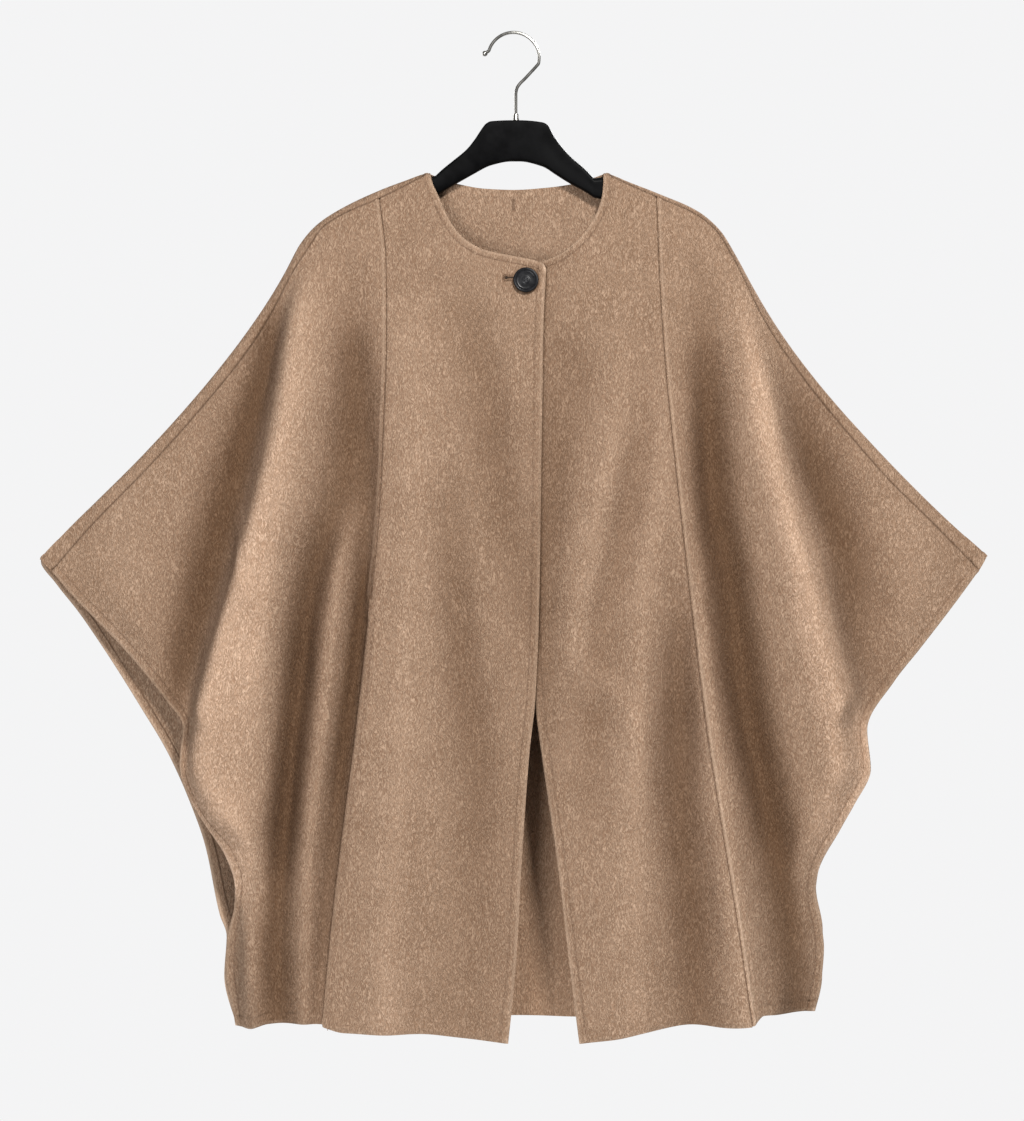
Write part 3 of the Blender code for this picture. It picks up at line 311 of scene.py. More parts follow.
# Turned edges: width of the band, its rise and the depth of the stitched groove; then how the band fades,
# the end rounds away, the edge's painted highlight and the groove's painted shade lie, and the wall thins at
# its border
NECK_EDGE, FRONT_EDGE, HEM_EDGE = (7.0, 0.45, 0.55), (8.0, 0.45, 0.5), (11.0, 0.3, 0.35)
WING_EDGE, PANEL_EDGE = (8.5, 0.4, 0.45), (6.5, 0.55, 0.5)
BAND_FADE, END_ROUND, END_POWER, GROOVE_REACH = (1.5, 4.0), 1.3, 1.5, 1.1
EDGE_LIGHT, EDGE_HIGHLIGHT_SPOT, GROOVE_SHADE, GROOVE_SHADE_REACH = 0.5, (1.2, 1.8), 0.45, 1.0
THINNED, THIN_REACH = 1.9, 0.9

# Seams: dip, roll beside it, reach of the dip, and painted shade, where a negative one paints the roll light
# instead
CENTRE_SIDE, OUTER_SIDE, OVERARM_JOIN = (0.6, 0.0, 1.4, 0.6), (0.1, 0.9, 0.7, -0.5), (0.3, 0.3, 0.9, 0.6)
CENTRE_JOIN, PROUD_STEP = (0.1, 0.5, 1.5, 0.35), (1.9, 0.0, 6.0, 0.6)
ROLL, ROLL_LIGHT, SEAM_LINE, SEAM_SHADE_REACH = (2.4, 1.8), (2.3, 1.7), (0.3, 0.6), 1.3
PROUD_FROM, PROUD_GAP = -570.0, 20.0

# Stitches, and the rings of one thread: place along it, size and how far it sinks in
STITCH_PITCH, STITCH_LENGTH, STITCH_WIDTH = 6.2, 2.6, 0.8
THREAD_RINGS = ((-1.0, 0.25, -0.8), (-0.7, 0.9, -0.1), (0.0, 1.0, 0.0), (0.7, 0.9, -0.1), (1.0, 0.25, -0.8))
THREAD_SIDES, BUTTON_THREAD, BUTTONHOLE_THREAD = 6, (2.6, 0.42), (2.4, 0.85)
THREAD_LENGTHS, THREAD_WIDTHS, THREAD_SIDEWAYS, THREAD_ALONG = (0.75, 1.15), (0.8, 1.15), 0.25, 0.5
BELOW_RIDGE, STITCH_AHEAD = 1.0, 0.5

# Unevenness of the hung cloth: strength, width, height and shift of each noise, and where it starts.
# How far a crease bows and how soon it fades, and the angle above which an edge stays sharp
WAVES, WAVE_DEPTH = ((1.0, 60.0, 110.0, 0.0), (0.4, 24.0, 38.0, 7.0)), 0.9
UNEVEN_FROM, UNEVEN_OVER = 6.0, 60.0
CREASE_BOW, CREASE_FADE, SHARP_ANGLE = 0.05, 0.35, 55.0

# Button: boss, upper face and rim, each as radius or distance in from the edge, and drop
BOSS_DROP, BOSS_STEP, BOSS_FROM, BOSS_OVER = 1.0, 0.5, 2.4, 2.2
BUTTON_FACE = (
    (6.5, 1.55), (8.4, 1.5), (9.2, 1.35), (9.9, 0.95), (10.3, 0.5), (10.7, 0.15), (11.1, 0.0), (11.6, 0.02),
    (12.1, 0.22),
)
BUTTON_RIM = ((0.25, 0.65), (0.05, 1.1), (0.0, 1.5), (0.0, 2.6), (0.1, 3.2), (0.4, 3.7), (1.0, 4.05))
BUTTON_BOSS, BUTTON_UNDER, BUTTON_INNER, BUTTON_UNDER_RINGS, BUTTON_SIDES = (
    (0.25, 5.0, 0.25), (1.8, 2.4), 0.5, 26, 96
)
BUTTON_HOLES, HOLE_RADIUS, HOLE_DEPTH, THREAD_SPREAD = 1.25, 0.75, 1.1, 0.35

# Worked buttonhole: its eye's place, its length, and the threads' ring and rows
BUTTONHOLE_EYE, BUTTONHOLE_LENGTH, BUTTONHOLE_PITCH = (-7.2, -249.6), 14.0, 0.9
EYE_TURNS, EYE_THREADS, ROW_FROM, ROW_APART, THREAD_LIFT = (50.0, 311.0, 17.0), 2.9, 1.9, 2.0, 0.35
SLIT_TURNS, SLIT_EYE, SLIT_HALF, SLIT_LIFT, SLIT_DEEP = (20.0, 341.0, 20.0), 1.5, 0.45, 0.3, 0.8

# Cloth, in linear colour
WOOL_BODY, WOOL_SHADE = (0.43, 0.279, 0.187), (0.37, 0.235, 0.154)
# The pale colour is the light fibres' colour and also the painted highlight of edges and seam rolls
WOOL_PALE_AND_HIGHLIGHT, WOOL_DARK = (0.66, 0.475, 0.345), (0.18, 0.1, 0.058)
# Painted shade in seams, stitched grooves and the seam mark
SEAM_AND_GROOVE_SHADE = (0.1, 0.056, 0.033)
CLOUD_SCALE, CLOUD_RANGE, CLUMP_SCALE, CLUMP_RANGE, CLUMP_SHARE = 24.0, (0.3, 0.7), 330.0, (0.36, 0.68), 0.16

# Fibres, two lots: turn, fineness across, fineness along, seed, range of the light ones and of the dark ones
FIBRES = (
    (44.0, 1350.0, 330.0, 0.0, (0.52, 0.64), (0.46, 0.32)),
    (-50.0, 1250.0, 345.0, 3.7, (0.54, 0.66), (0.44, 0.3)),
)
FIBRE_BEND_SCALE, FIBRE_BEND, FIBRE_DEEP, FIBRE_LIGHT_SHARE, FIBRE_DARK_SHARE = 160.0, 0.005, 150.0, 0.5, 0.4
NAP_LIGHT, NAP_CLUMPS, NAP_DARK, NAP_STRENGTH, NAP_DEPTH = 0.8, -0.4, 0.8, 0.75, 0.0006

# Painted shade where the cloth is closed in, in hollows and on the inside, and painted highlight on ridges:
# tints that multiply the wool's colour, and the closeness or the fold's rise that each one goes by
FOLD_PAINTED_SHADE, FOLD_DISTANCE, FOLD_CLOSED, FOLD_OPEN = (0.5, 0.45, 0.4), 0.12, 0.4, 0.92
HOLLOW_PAINTED_SHADE, HOLLOW_RISES = (0.4, 0.34, 0.28), (-27.0, 11.0)
RIDGE_PAINTED_HIGHLIGHT, RIDGE_RISES = (1.42, 1.44, 1.47), (6.0, 28.0)
INSIDE_RISE, INSIDE_FROM, INSIDE_TO, INSIDE_PAINTED_SHADE = 60.0, 42.0, 55.0, (0.93, 0.92, 0.91)

# Places of painted shade and painted highlight on the folds, in the same form as the folds
FRONT_PAINTED_LIGHT_AND_SHADE = (
    ("behind the outer fold, right", 0.0, (
        (-700, -350, 0, 24, 20), (-620, -326, -9, 26, 20), (-520, -298, -12, 28, 20),
        (-420, -270, -13, 26, 18), (-320, -243, -9, 18, 14), (-250, -226, 0, 14, 12))),
    ("outer fold, left", 0.0, (
        (-790, 350, 0, 14, 8), (-745, 355, 6, 18, 8), (-705, 346, 14, 24, 8), (-658, 323, 15, 22, 8),
        (-612, 307, 15, 18, 9), (-524, 299, 13, 18, 10), (-424, 262, 11, 18, 12), (-324, 240, 5, 16, 14),
        (-270, 230, 0, 16, 16))),
    ("wing beside the outer fold, left", 0.0, (
        (-692, 362, 0, 8, 12), (-655, 347, -9, 12, 24), (-600, 331, -13, 12, 30), (-520, 324, -12, 12, 34),
        (-440, 292, -14, 13, 34), (-380, 270, -12, 12, 30), (-310, 254, -6, 12, 22),
        (-260, 244, 0, 12, 18))),
    ("lit edge, right", 0.0, (
        (-940, -276, 0, 10, 12), (-880, -264, 10, 12, 16), (-830, -270, 20, 14, 20),
        (-780, -304, 20, 14, 20), (-745, -322, 12, 12, 18), (-715, -326, 0, 10, 16))),
    ("crest of the outer fold, right", 0.0, (
        (-880, -262, 0, 14, 14), (-815, -264, 8, 18, 16), (-740, -258, 12, 22, 18),
        (-680, -254, 13, 22, 18), (-600, -249, 13, 20, 18), (-540, -240, 9, 20, 18),
        (-480, -232, 0, 18, 18))),
    ("under the panel edge, right", 0.0, (
        (-520, -138, 0, 8, 5), (-560, -149, -10, 10, 6), (-620, -157, -17, 11, 6), (-680, -164, -17, 11, 6),
        (-731, -170, -12, 11, 6), (-800, -176, -5, 10, 6), (-860, -182, 0, 8, 6))),
    ("lit edge, left", 0.0, (
        (-900, 296, 0, 12, 10), (-850, 294, 8, 16, 12), (-800, 312, 10, 18, 14), (-750, 336, 8, 18, 16),
        (-715, 340, 0, 14, 14))),
)

# Plain finishes: two colours, roughness and how far it varies, scale, and then gloss, metal and stretch
FINISHES = {
    "stitch thread": ((0.27, 0.165, 0.105), (0.36, 0.23, 0.155), 0.75, 0.1, 500.0),
    "button thread": ((0.05, 0.05, 0.054), (0.11, 0.11, 0.118), 0.6, 0.1, 500.0),
    "buttonhole thread": ((0.2, 0.12, 0.075), (0.3, 0.19, 0.125), 0.7, 0.1, 500.0),
    "buttonhole shade": ((0.03, 0.02, 0.014), (0.05, 0.033, 0.022), 0.9, 0.05, 300.0),
    "button finish": ((0.009, 0.009, 0.0105), (0.021, 0.0215, 0.024), 0.22, 0.15, 120.0),
    "hanger plastic finish": ((0.0025, 0.0025, 0.0028), (0.0055, 0.0055, 0.006), 0.4, 0.1, 60.0, 0.06),
    "hook wire finish": (
        (0.42, 0.41, 0.39), (0.56, 0.55, 0.52), 0.22, 0.12, 120.0, 0.2, 1.0, (1.0, 1.0, 0.15)
    ),
}
GRAIN_FINER, GRAIN_STRENGTH, GRAIN_DEPTH = 9.0, 0.12, 0.0002
FLOOR_DARK, FLOOR_PALE, FLOOR_SCALE = (0.52, 0.52, 0.52), (0.55, 0.55, 0.545), 3.0

# Painted highlight of an edge kept clear of painted hollow shade; painted tone of the inside's turned hem,
# painted shade of the short seam mark and painted light in the slit; how much the back's folds are shaded
TONE_RISE, TONE_FLOOR = 45.0, 27.0
INNER_TURN, CENTRE_MARK, MARK_SHADE = 1.8, (2.2, -166.0, -177.0), 0.6
SLIT_LIGHT, SLIT_MARGIN, SLIT_PAINTED_LIGHT = 40.0, 5.0, (1.28, 1.24, 1.2)
SLIT_FROM, SLIT_OVER, SLIT_PLACE = 640.0, 140.0, (30.0, 60.0)
BACK_SHADING_STRENGTH, OUT_OF_REACH = 1.9, 99.0

# Studio: backdrop, ambient light, lamps (name, place, target, size, power, colour) and the floor
BACKDROP, AMBIENT, AMBIENT_TINT = (0.905, 0.905, 0.91), 0.17, (1.0, 0.985, 0.965)
LAMP_TARGET = (0.0, 0.0, -0.55)
LAMPS = (
    ("key", (0.9, -2.6, 1.5), LAMP_TARGET, 0.5, 101.0, (1.0, 0.985, 0.96)),
    ("fill", (-1.2, -2.8, -0.9), (0.0, 0.0, -0.6), 1.3, 46.0, (1.0, 1.0, 1.0)),
    ("rear", (1.5, 2.4, 1.2), LAMP_TARGET, 0.8, 120.0, (1.0, 1.0, 1.0)),
    ("rear fill", (-1.8, 2.2, 0.2), LAMP_TARGET, 1.4, 30.0, (1.0, 1.0, 1.0)),
)
FLOOR_RADIUS, FLOOR_LEVEL, FLOOR_SIDES, FLOOR_FADE = 1.3, -1.42, 96, (0.35, 1.25)

# Small creases: start across and height, end across and height, rise, reach
FRONT_CREASES = (
    (-300, -395, -210, -640, 1.6, 9), (-415, -520, -300, -560, 1.2, 14), (-360, -460, -330, -610, -1.1, 10),
    (-95, -300, -60, -560, 1.0, 14), (-110, -640, -92, -900, 1.3, 12), (-50, -700, -30, -960, -1.2, 10),
    (150, -560, 120, -760, 1.4, 10), (96, -380, 60, -600, -1.3, 9), (118, -800, 150, -990, 1.6, 12),
    (205, -420, 245, -700, 1.6, 10), (262, -350, 330, -560, -1.3, 9), (300, -520, 400, -560, 1.5, 15),
    (330, -480, 372, -640, 1.1, 11), (262, -760, 285, -960, 1.8, 9), (196, -780, 214, -970, -1.5, 8),
    (-240, -700, -236, -930, 1.4, 9), (-262, -560, -250, -760, -1.2, 9), (20, -330, -14, -520, 1.1, 12),
)
BACK_CREASES = (
    (-300, -400, -230, -680, 1.5, 12), (-160, -300, -150, -620, 1.2, 14), (-96, -640, -84, -960, -1.4, 12),
    (-30, -300, -26, -640, 1.2, 16), (48, -520, 40, -900, 1.4, 12), (150, -360, 176, -700, -1.4, 12),
    (240, -420, 300, -700, 1.6, 12), (-380, -500, -300, -600, 1.3, 14), (330, -470, 400, -580, 1.2, 14),
    (-220, -760, -232, -980, 1.6, 10), (230, -760, 250, -970, -1.5, 10), (96, -700, 104, -960, 1.3, 11),
)

# Tops of the two centre panels: the neck edge and the overarm seam beside it
TOP_RIGHT, TOP_LEFT = OVERARM_SEAM[10:12] + NECK_FRONT_RIGHT, NECK_FRONT_LEFT + OVERARM_SEAM[14:16]

# Stitched and sewn lines: those down the cape from one height to another, and those across it
DOWN_LINES = {
    "seam_right": (PANEL_SEAM_RIGHT, -160, PROUD_FROM), "seam_left": (PANEL_SEAM_LEFT, -160, -1012),
    "proud_right": (PANEL_SEAM_RIGHT, PROUD_FROM - PROUD_GAP, -1012),
    "edge_over": (FRONT_EDGE_TOP_LAYER, -236, -1019), "edge_under": (FRONT_EDGE_UNDER_LAYER, -231, -1019),
    "side_right": (FRONT_SIDE_RIGHT, -546, -1008), "side_left": (FRONT_SIDE_LEFT, -546, -995),
    "back_side_right": (BACK_SIDE_RIGHT, -533, -1008), "back_side_left": (BACK_SIDE_LEFT, -531, -995),
    "centre_back": (CENTRE_BACK, -157, -1010),
}
ACROSS_LINES = {
    "overarm_right": OVERARM_SEAM[:13], "overarm_left": OVERARM_SEAM[13:],
    "neck_right": NECK_FRONT_RIGHT, "neck_left": NECK_FRONT_LEFT, "neck_back": NECK_BACK,
    "hem_centre_right": HEM_CENTRE_RIGHT, "hem_centre_left": HEM_CENTRE_LEFT,
    "hem_side_right": HEM_SIDE_RIGHT, "hem_side_left": HEM_SIDE_LEFT, "hem_back": HEM_BACK,
}

# Front panels: node, the lines round it, gaps at its left and right, turned edges, seams
UNDER_LAYER = "front_centre_left"
FRONT_PANELS = (
    ("front_centre_right", (PANEL_SEAM_RIGHT, FRONT_EDGE_TOP_LAYER, TOP_RIGHT, HEM_CENTRE_RIGHT),
     (HALF_SEAM_GAP, 0.0),
     (("edge_over", FRONT_EDGE), ("neck_right", NECK_EDGE), ("hem_centre_right", HEM_EDGE),
      ("proud_right", PANEL_EDGE)),
     (("seam_right", CENTRE_SIDE), ("overarm_right", OVERARM_JOIN))),
    (UNDER_LAYER, (FRONT_EDGE_UNDER_LAYER, PANEL_SEAM_LEFT, TOP_LEFT, HEM_CENTRE_LEFT), (0.0, HALF_SEAM_GAP),
     (("edge_under", FRONT_EDGE), ("neck_left", NECK_EDGE), ("hem_centre_left", HEM_EDGE)),
     (("seam_left", CENTRE_SIDE), ("overarm_left", OVERARM_JOIN))),
    ("front_side_right", (FRONT_SIDE_RIGHT, PANEL_SEAM_RIGHT, OVERARM_SEAM[:11], HEM_SIDE_RIGHT),
     (0.0, HALF_SEAM_GAP), (("side_right", WING_EDGE), ("hem_side_right", HEM_EDGE)),
     (("seam_right", OUTER_SIDE), ("overarm_right", OVERARM_JOIN), ("proud_right", PROUD_STEP))),
    ("front_side_left", (PANEL_SEAM_LEFT, FRONT_SIDE_LEFT, OVERARM_SEAM[15:], HEM_SIDE_LEFT),
     (HALF_SEAM_GAP, 0.0), (("side_left", WING_EDGE), ("hem_side_left", HEM_EDGE)),
     (("seam_left", OUTER_SIDE), ("overarm_left", OVERARM_JOIN))),
)

# Back panels: node, free side edge, turned edges, seams; True is only in front and False only behind
BACK_PANELS = tuple(
    ("back_" + side, rows,
     (("back_side_" + side, WING_EDGE), ("neck_back", NECK_EDGE, False), ("hem_back", HEM_EDGE, False)),
     (("overarm_" + side, OVERARM_JOIN, True), ("centre_back", CENTRE_JOIN, False)))
    for side, rows in (("right", BACK_SIDE_RIGHT), ("left", BACK_SIDE_LEFT))
)


def columns_of(rows):
    return np.array(sorted(rows), dtype=float)


def curve(rows, at, column=1):
    """A smooth curve through the rows with no overshoot, straight past both ends."""
    table = columns_of(rows)
    x, y = table[:, 0], table[:, column]
    at = np.asarray(at, dtype=float)
    step = np.diff(x)
    slope = np.diff(y) / step
    tangent = np.concatenate([[slope[0]], np.zeros(len(x) - 2), [slope[-1]]])
    same_way = slope[:-1] * slope[1:] > 0
    before, after = step[:-1][same_way], step[1:][same_way]
    weight_before, weight_after = 2 * after + before, after + 2 * before
    tangent[1:-1][same_way] = (weight_before + weight_after) / (
        weight_before / slope[:-1][same_way] + weight_after / slope[1:][same_way]
    )
    inside = np.clip(at, x[0], x[-1])
    cell = np.clip(np.searchsorted(x, inside, side="right") - 1, 0, len(x) - 2)
    t = (inside - x[cell]) / step[cell]
    value = (
        (1 + 2 * t) * (1 - t) ** 2 * y[cell]
        + t * (1 - t) ** 2 * step[cell] * tangent[cell]
        + t * t * (3 - 2 * t) * y[cell + 1]
        - t * t * (1 - t) * step[cell] * tangent[cell + 1]
    )
    outside = at - inside
    return value + np.where(outside < 0, tangent[0], tangent[-1]) * outside


def held(rows, at, column=1):
    """The same curve, holding its end values past both ends."""
    table = columns_of(rows)
    return curve(rows, np.clip(at, table[0, 0], table[-1, 0]), column)


def ease(t):
    t = np.clip(t, 0.0, 1.0)
    return t * t * (3 - 2 * t)


def shoulder(across):
    """Spine height inside the rounded shoulder line, the radius round it, and the cosine of its slope."""
    slope = (curve(RIDGE, across + 1.0) - curve(RIDGE, across - 1.0)) / 2.0
    level = 1.0 / np.sqrt(1.0 + slope**2)
    radius = held(ROUND, across)
    return curve(RIDGE, across) - radius / level, radius, level


def folds_at(folds, across, height):
    """Depth that the folds add at each point, and how far they carry it sideways."""
    depth, sideways = np.zeros(np.shape(across)), np.zeros(np.shape(across))
    for _, lean, rows in folds:
        rise = held(rows, height, 2)
        away = across - held(rows, height, 1)
        reach = np.where(away < 0, held(rows, height, 3), held(rows, height, 4))
        lift = rise * np.exp(-((away / reach) ** 2))
        depth += lift
        sideways += lean * lift
    return depth, sideways


def beside(height, across, right_rows, left_rows, column=1):
    """The value from the right or the left side's rows, by the side that each point is on."""
    return np.where(across < 0, held(right_rows, height, column), held(left_rows, height, column))


def settled(depth, across, height, right_rows, left_rows, reach):
    """Depth brought to the free side edge's own depth over the last stretch before it."""
    edge = beside(height, across, right_rows, left_rows)
    hold = ease(np.abs(across - edge) / reach)
    edge_depth = beside(height, across, right_rows, left_rows, 2)
    return edge_depth + (depth - edge_depth) * hold


def swell(across, height, amounts):
    """Rounded shoulder line, then the fall away from it: wide on the body and slight on the wings."""
    wing, body, drop_reach = amounts
    spine, radius, level = shoulder(across)
    above = np.clip((height - spine) * level, 0.0, radius)
    drop = np.maximum(spine - height, 0.0)
    inside = np.where(
        across < 0, across - held(BODY_EDGE_RIGHT, height), held(BODY_EDGE_LEFT, height) - across
    )
    on_body = ease(inside / beside(height, across, BODY_EDGE_RIGHT, BODY_EDGE_LEFT, 2) + 0.5)
    fall_away = (wing + (body - wing) * on_body) * (1.0 - np.exp(-((drop / drop_reach) ** SWELL_POWER)))
    return np.sqrt(radius**2 - above**2) + fall_away


def seam_fall(across, height):
    """How far the side panel drops away beside the right panel seam."""
    beyond = np.maximum(held(PANEL_SEAM_RIGHT, height) - across, 0.0)
    fall = held(SEAM_FALL_RIGHT, height) * (1.0 - np.exp(-beyond / SEAM_FALL_REACH))
    return fall * np.exp(-beyond / SEAM_FALL_LENGTH)


def front(across, height):
    depth = swell(across, height, FRONT_SWELL)
    lift, sideways = folds_at(FRONT_FOLDS, across, height)
    depth = depth + lift - seam_fall(across, height)
    depth = settled(depth, across, height, FRONT_SIDE_RIGHT, FRONT_SIDE_LEFT, SIDE_REACH_FRONT)
    return np.stack([across + sideways, -depth, height], axis=-1)


def back(across, height):
    depth = swell(across, height, BACK_SWELL)
    lift, sideways = folds_at(BACK_FOLDS, across, height)
    depth = settled(depth + lift, across, height, BACK_SIDE_RIGHT, BACK_SIDE_LEFT, SIDE_REACH_BACK)
    return np.stack([across + sideways, depth, height], axis=-1)


def outward(surface, across, height):
    """Unit normal away from the body: round the spine on the shoulder line, and by differences below it."""
    facing = -1.0 if surface is front else 1.0
    step = NORMAL_STEP
    along = surface(across + step, height) - surface(across - step, height)
    up = surface(across, height + step) - surface(across, height - step)
    below = np.cross(along, up) * (1.0 if surface is front else -1.0)
    below /= np.linalg.norm(below, axis=-1, keepdims=True)
    spine, radius, level = shoulder(across)
    upright = np.clip((height - spine) * level / radius, 0.0, 1.0)
    sideways = -np.sqrt(1.0 - level**2) * np.sign(curve(RIDGE, across + 1.0) - curve(RIDGE, across - 1.0))
    round_spine = np.stack(
        [upright * sideways, facing * np.sqrt(1.0 - upright**2), upright * level], axis=-1
    )
    share = ease((upright - NORMAL_BLEND_FROM) / NORMAL_BLEND_OVER)[..., None]
    turned = below * (1.0 - share) + round_spine * share
    return turned / np.linalg.norm(turned, axis=-1, keepdims=True)


def spaced(rows, start, end, cells):
    """Positions across, evenly far apart along the line that the rows draw."""
    fine = np.linspace(start, end, FINE_POINTS)
    line = np.hypot(np.gradient(fine), np.gradient(curve(rows, fine)))
    run = np.concatenate([[0.0], np.cumsum((line[1:] + line[:-1]) / 2.0)])
    return np.interp(np.linspace(0.0, run[-1], cells + 1), run, fine)


def joined(*stretches):
    return np.concatenate([stretches[0]] + [stretch[1:] for stretch in stretches[1:]])


def front_grid(lines, tops, drops, shares, gaps):
    """Places across and heights of a front panel, as rows from top to hem.

    lines are its left and right lines, which run down, and its top and hem, which run across. tops are the
    columns' places along the top, drops the first rows' depths below it, shares the other rows' places from
    the last drop to the hem, and gaps how far the panel stays inside its left, right and top lines.
    """
    left, right, top, hem = lines
    gap_left, gap_right, gap_top = gaps
    top_heights = curve(top, tops)
    low, high = held(left, top_heights), held(right, top_heights)
    share = (tops - low) / (high - low)
    hem_across = np.linspace(*(columns_of(hem)[[0, -1], 0]), ACROSS_POINTS)
    hem_height = curve(hem, hem_across)
    low, high = held(left, hem_height), held(right, hem_height)
    bottom = np.interp(share, (hem_across - low) / (high - low), hem_height)
    top_heights = top_heights - gap_top / shoulder(tops)[2]
    first = top_heights - np.array(drops)[:, None]
    height = np.concatenate([first, first[-1] + (bottom - first[-1]) * shares[:, None]])
    low, high = held(left, height) + gap_left, held(right, height) - gap_right
    return low + (high - low) * share, height


def along_path(height, across):
    """Length of cloth from the shoulder line's top down to a height."""
    spine, radius, level = shoulder(across)
    upright = np.clip((height - spine) * level / radius, 0.0, 1.0)
    return radius * np.arccos(upright) + np.maximum(spine - height, 0.0)


def height_on_path(run, across):
    spine, radius, level = shoulder(across)
    quarter = radius * math.pi / 2.0
    on_round = spine + radius / level * np.cos(np.minimum(run, quarter) / radius)
    return np.where(run < quarter, on_round, spine - (run - quarter))


def back_grid(side, tops, wraps, shares):
    """Places and heights of a back panel, from the seam in front, over the shoulder, to the hem.

    A column inside the neck opening starts at the back neck edge. tops are the columns' places along the
    seam, wraps the rows' shares of the way over the shoulder, and shares those of the way down the back.
    The third result is true where a point still lies in front.
    """
    outer = side[-1][1]
    tip_seam = tops[np.argmax(np.abs(tops))]
    toward_tip = np.clip((np.abs(tops) - abs(tip_seam) + TIP_SPREAD) / TIP_SPREAD, 0.0, 1.0)
    ridge_place = tops + (outer - tip_seam) * toward_tip
    in_neck = (tops > NECK_BACK[0][0]) & (tops < NECK_BACK[-1][0])
    seam_height = curve(OVERARM_SEAM, tops) + OVERARM_GAP / shoulder(tops)[2]
    seam_height = np.minimum(seam_height, curve(RIDGE, tops))
    start = np.where(in_neck, along_path(curve(NECK_BACK, tops), tops), -along_path(seam_height, tops))
    quarter = shoulder(ridge_place)[1] * math.pi / 2.0
    join = np.maximum(quarter + WRAP_BEYOND, start + WRAP_LEAST)
    runs = start + (join - start) * wraps[:, None]
    in_front = runs < 0.0
    climbed = np.where(start < 0.0, np.clip(1.0 - runs / np.minimum(start, LEAST_START), 0.0, 1.0), 1.0)
    place = tops + (ridge_place - tops) * climbed
    wrap_height = height_on_path(np.abs(runs), place)
    place = place + np.where(in_front, 0.0, (held(side, wrap_height) - outer) * toward_tip)
    centre_line = held(CENTRE_BACK, wrap_height[-1])
    edge_line = held(side, wrap_height[-1])
    share = (place[-1] - centre_line) / (edge_line - centre_line)
    centre_low = CENTRE_BACK[0][1]
    bottom = curve(HEM_BACK, centre_low + share * (side[0][1] - centre_low))
    height = wrap_height[-1] + (bottom - wrap_height[-1]) * shares[:, None]
    centre_line, edge_line = held(CENTRE_BACK, height), held(side, height)
    across = centre_line + (edge_line - centre_line) * share
    in_front = np.concatenate([in_front, np.zeros(height.shape, bool)])
    return np.concatenate([place, across]), np.concatenate([wrap_height, height]), in_front


def tuck(across, height):
    """How far the under layer steps back where the other front lies over it."""
    beyond = across - held(FRONT_EDGE_TOP_LAYER, height)
    return OVERLAP_STEP * (1.0 - ease((beyond - TUCK_CLEAR) / (TUCK_FADE - TUCK_CLEAR)))


def graded(count, least):
    """Shares from 0 to 1 with smaller steps near both ends."""
    even = np.linspace(0.0, 1.0, count + 1)
    return least * even + (1.0 - least) * (even - np.sin(2.0 * math.pi * even) / (2.0 * math.pi))


def places(rows, start, end, shares):
    """Places across at the shares of the run along a line."""
    even = spaced(rows, start, end, FINE_POINTS)
    return np.interp(shares, np.linspace(0.0, 1.0, FINE_POINTS + 1), even)


def down_line(rows, start, end):
    height = np.linspace(start, end, DOWN_POINTS)
    return np.stack([held(rows, height), height], axis=-1)


def across_line(rows):
    place = spaced(rows, rows[0][0], rows[-1][0], ACROSS_POINTS)
    return np.stack([place, curve(rows, place)], axis=-1)


def distance_to(line, across, height):
    """Least distance of each point to a line in the plane of the front view."""
    points = np.stack([across.ravel(), height.ravel()], axis=-1)
    found = np.full(len(points), np.inf)
    for start in range(0, len(points), POINTS_AT_ONCE):
        part = points[start:start + POINTS_AT_ONCE]
        least = found[start:start + POINTS_AT_ONCE]
        gaps = (part[:, 0:1] - line[:, 0]) ** 2 + (part[:, 1:2] - line[:, 1]) ** 2
        nearest = gaps.argmin(axis=1)
        for step in (-1, 0):
            first = np.clip(nearest + step, 0, len(line) - 2)
            run = line[first + 1] - line[first]
            share = np.sum((part - line[first]) * run, axis=1) / np.sum(run * run, axis=1)
            foot = line[first] + np.clip(share, 0.0, 1.0)[:, None] * run
            np.minimum(least, np.hypot(*(part - foot).T), out=least)
    return found.reshape(across.shape)


def bump_at(away, place, reach):
    return np.exp(-(((away - place) / reach) ** 2))


def turned_relief(away, sizes):
    """Rise of a turned and hand-stitched edge: a soft band, a shallow groove and a rounded end."""
    width, rise, groove = sizes
    early, over = BAND_FADE
    band = rise * (1.0 - ease((away - width + early) / over))
    end = END_ROUND * np.exp(-((away / END_ROUND) ** END_POWER))
    return band - groove * bump_at(away, width, GROOVE_REACH) - end


def turned_painted_shading(away, sizes):
    """Painted highlight along the turned edge and painted shade in the stitched groove."""
    return EDGE_LIGHT * bump_at(away, *EDGE_HIGHLIGHT_SPOT) - GROOVE_SHADE * bump_at(away, sizes[0], GROOVE_SHADE_REACH)


def seam_relief(away, sizes):
    """A panel that dips into its seam, or rolls up beside it."""
    dip, roll, reach, _ = sizes
    return roll * bump_at(away, *ROLL) - dip * bump_at(away, 0.0, reach)


def seam_painted_shading(away, sizes):
    """Painted shade in the seam. A negative shade paints a highlight on the roll beside it and leaves a thin
    painted dark line.
    """
    shade = sizes[3]
    if shade >= 0.0:
        return -shade * bump_at(away, 0.0, SEAM_SHADE_REACH)
    return -shade * bump_at(away, *ROLL_LIGHT) - SEAM_LINE[0] * bump_at(away, 0.0, SEAM_LINE[1])


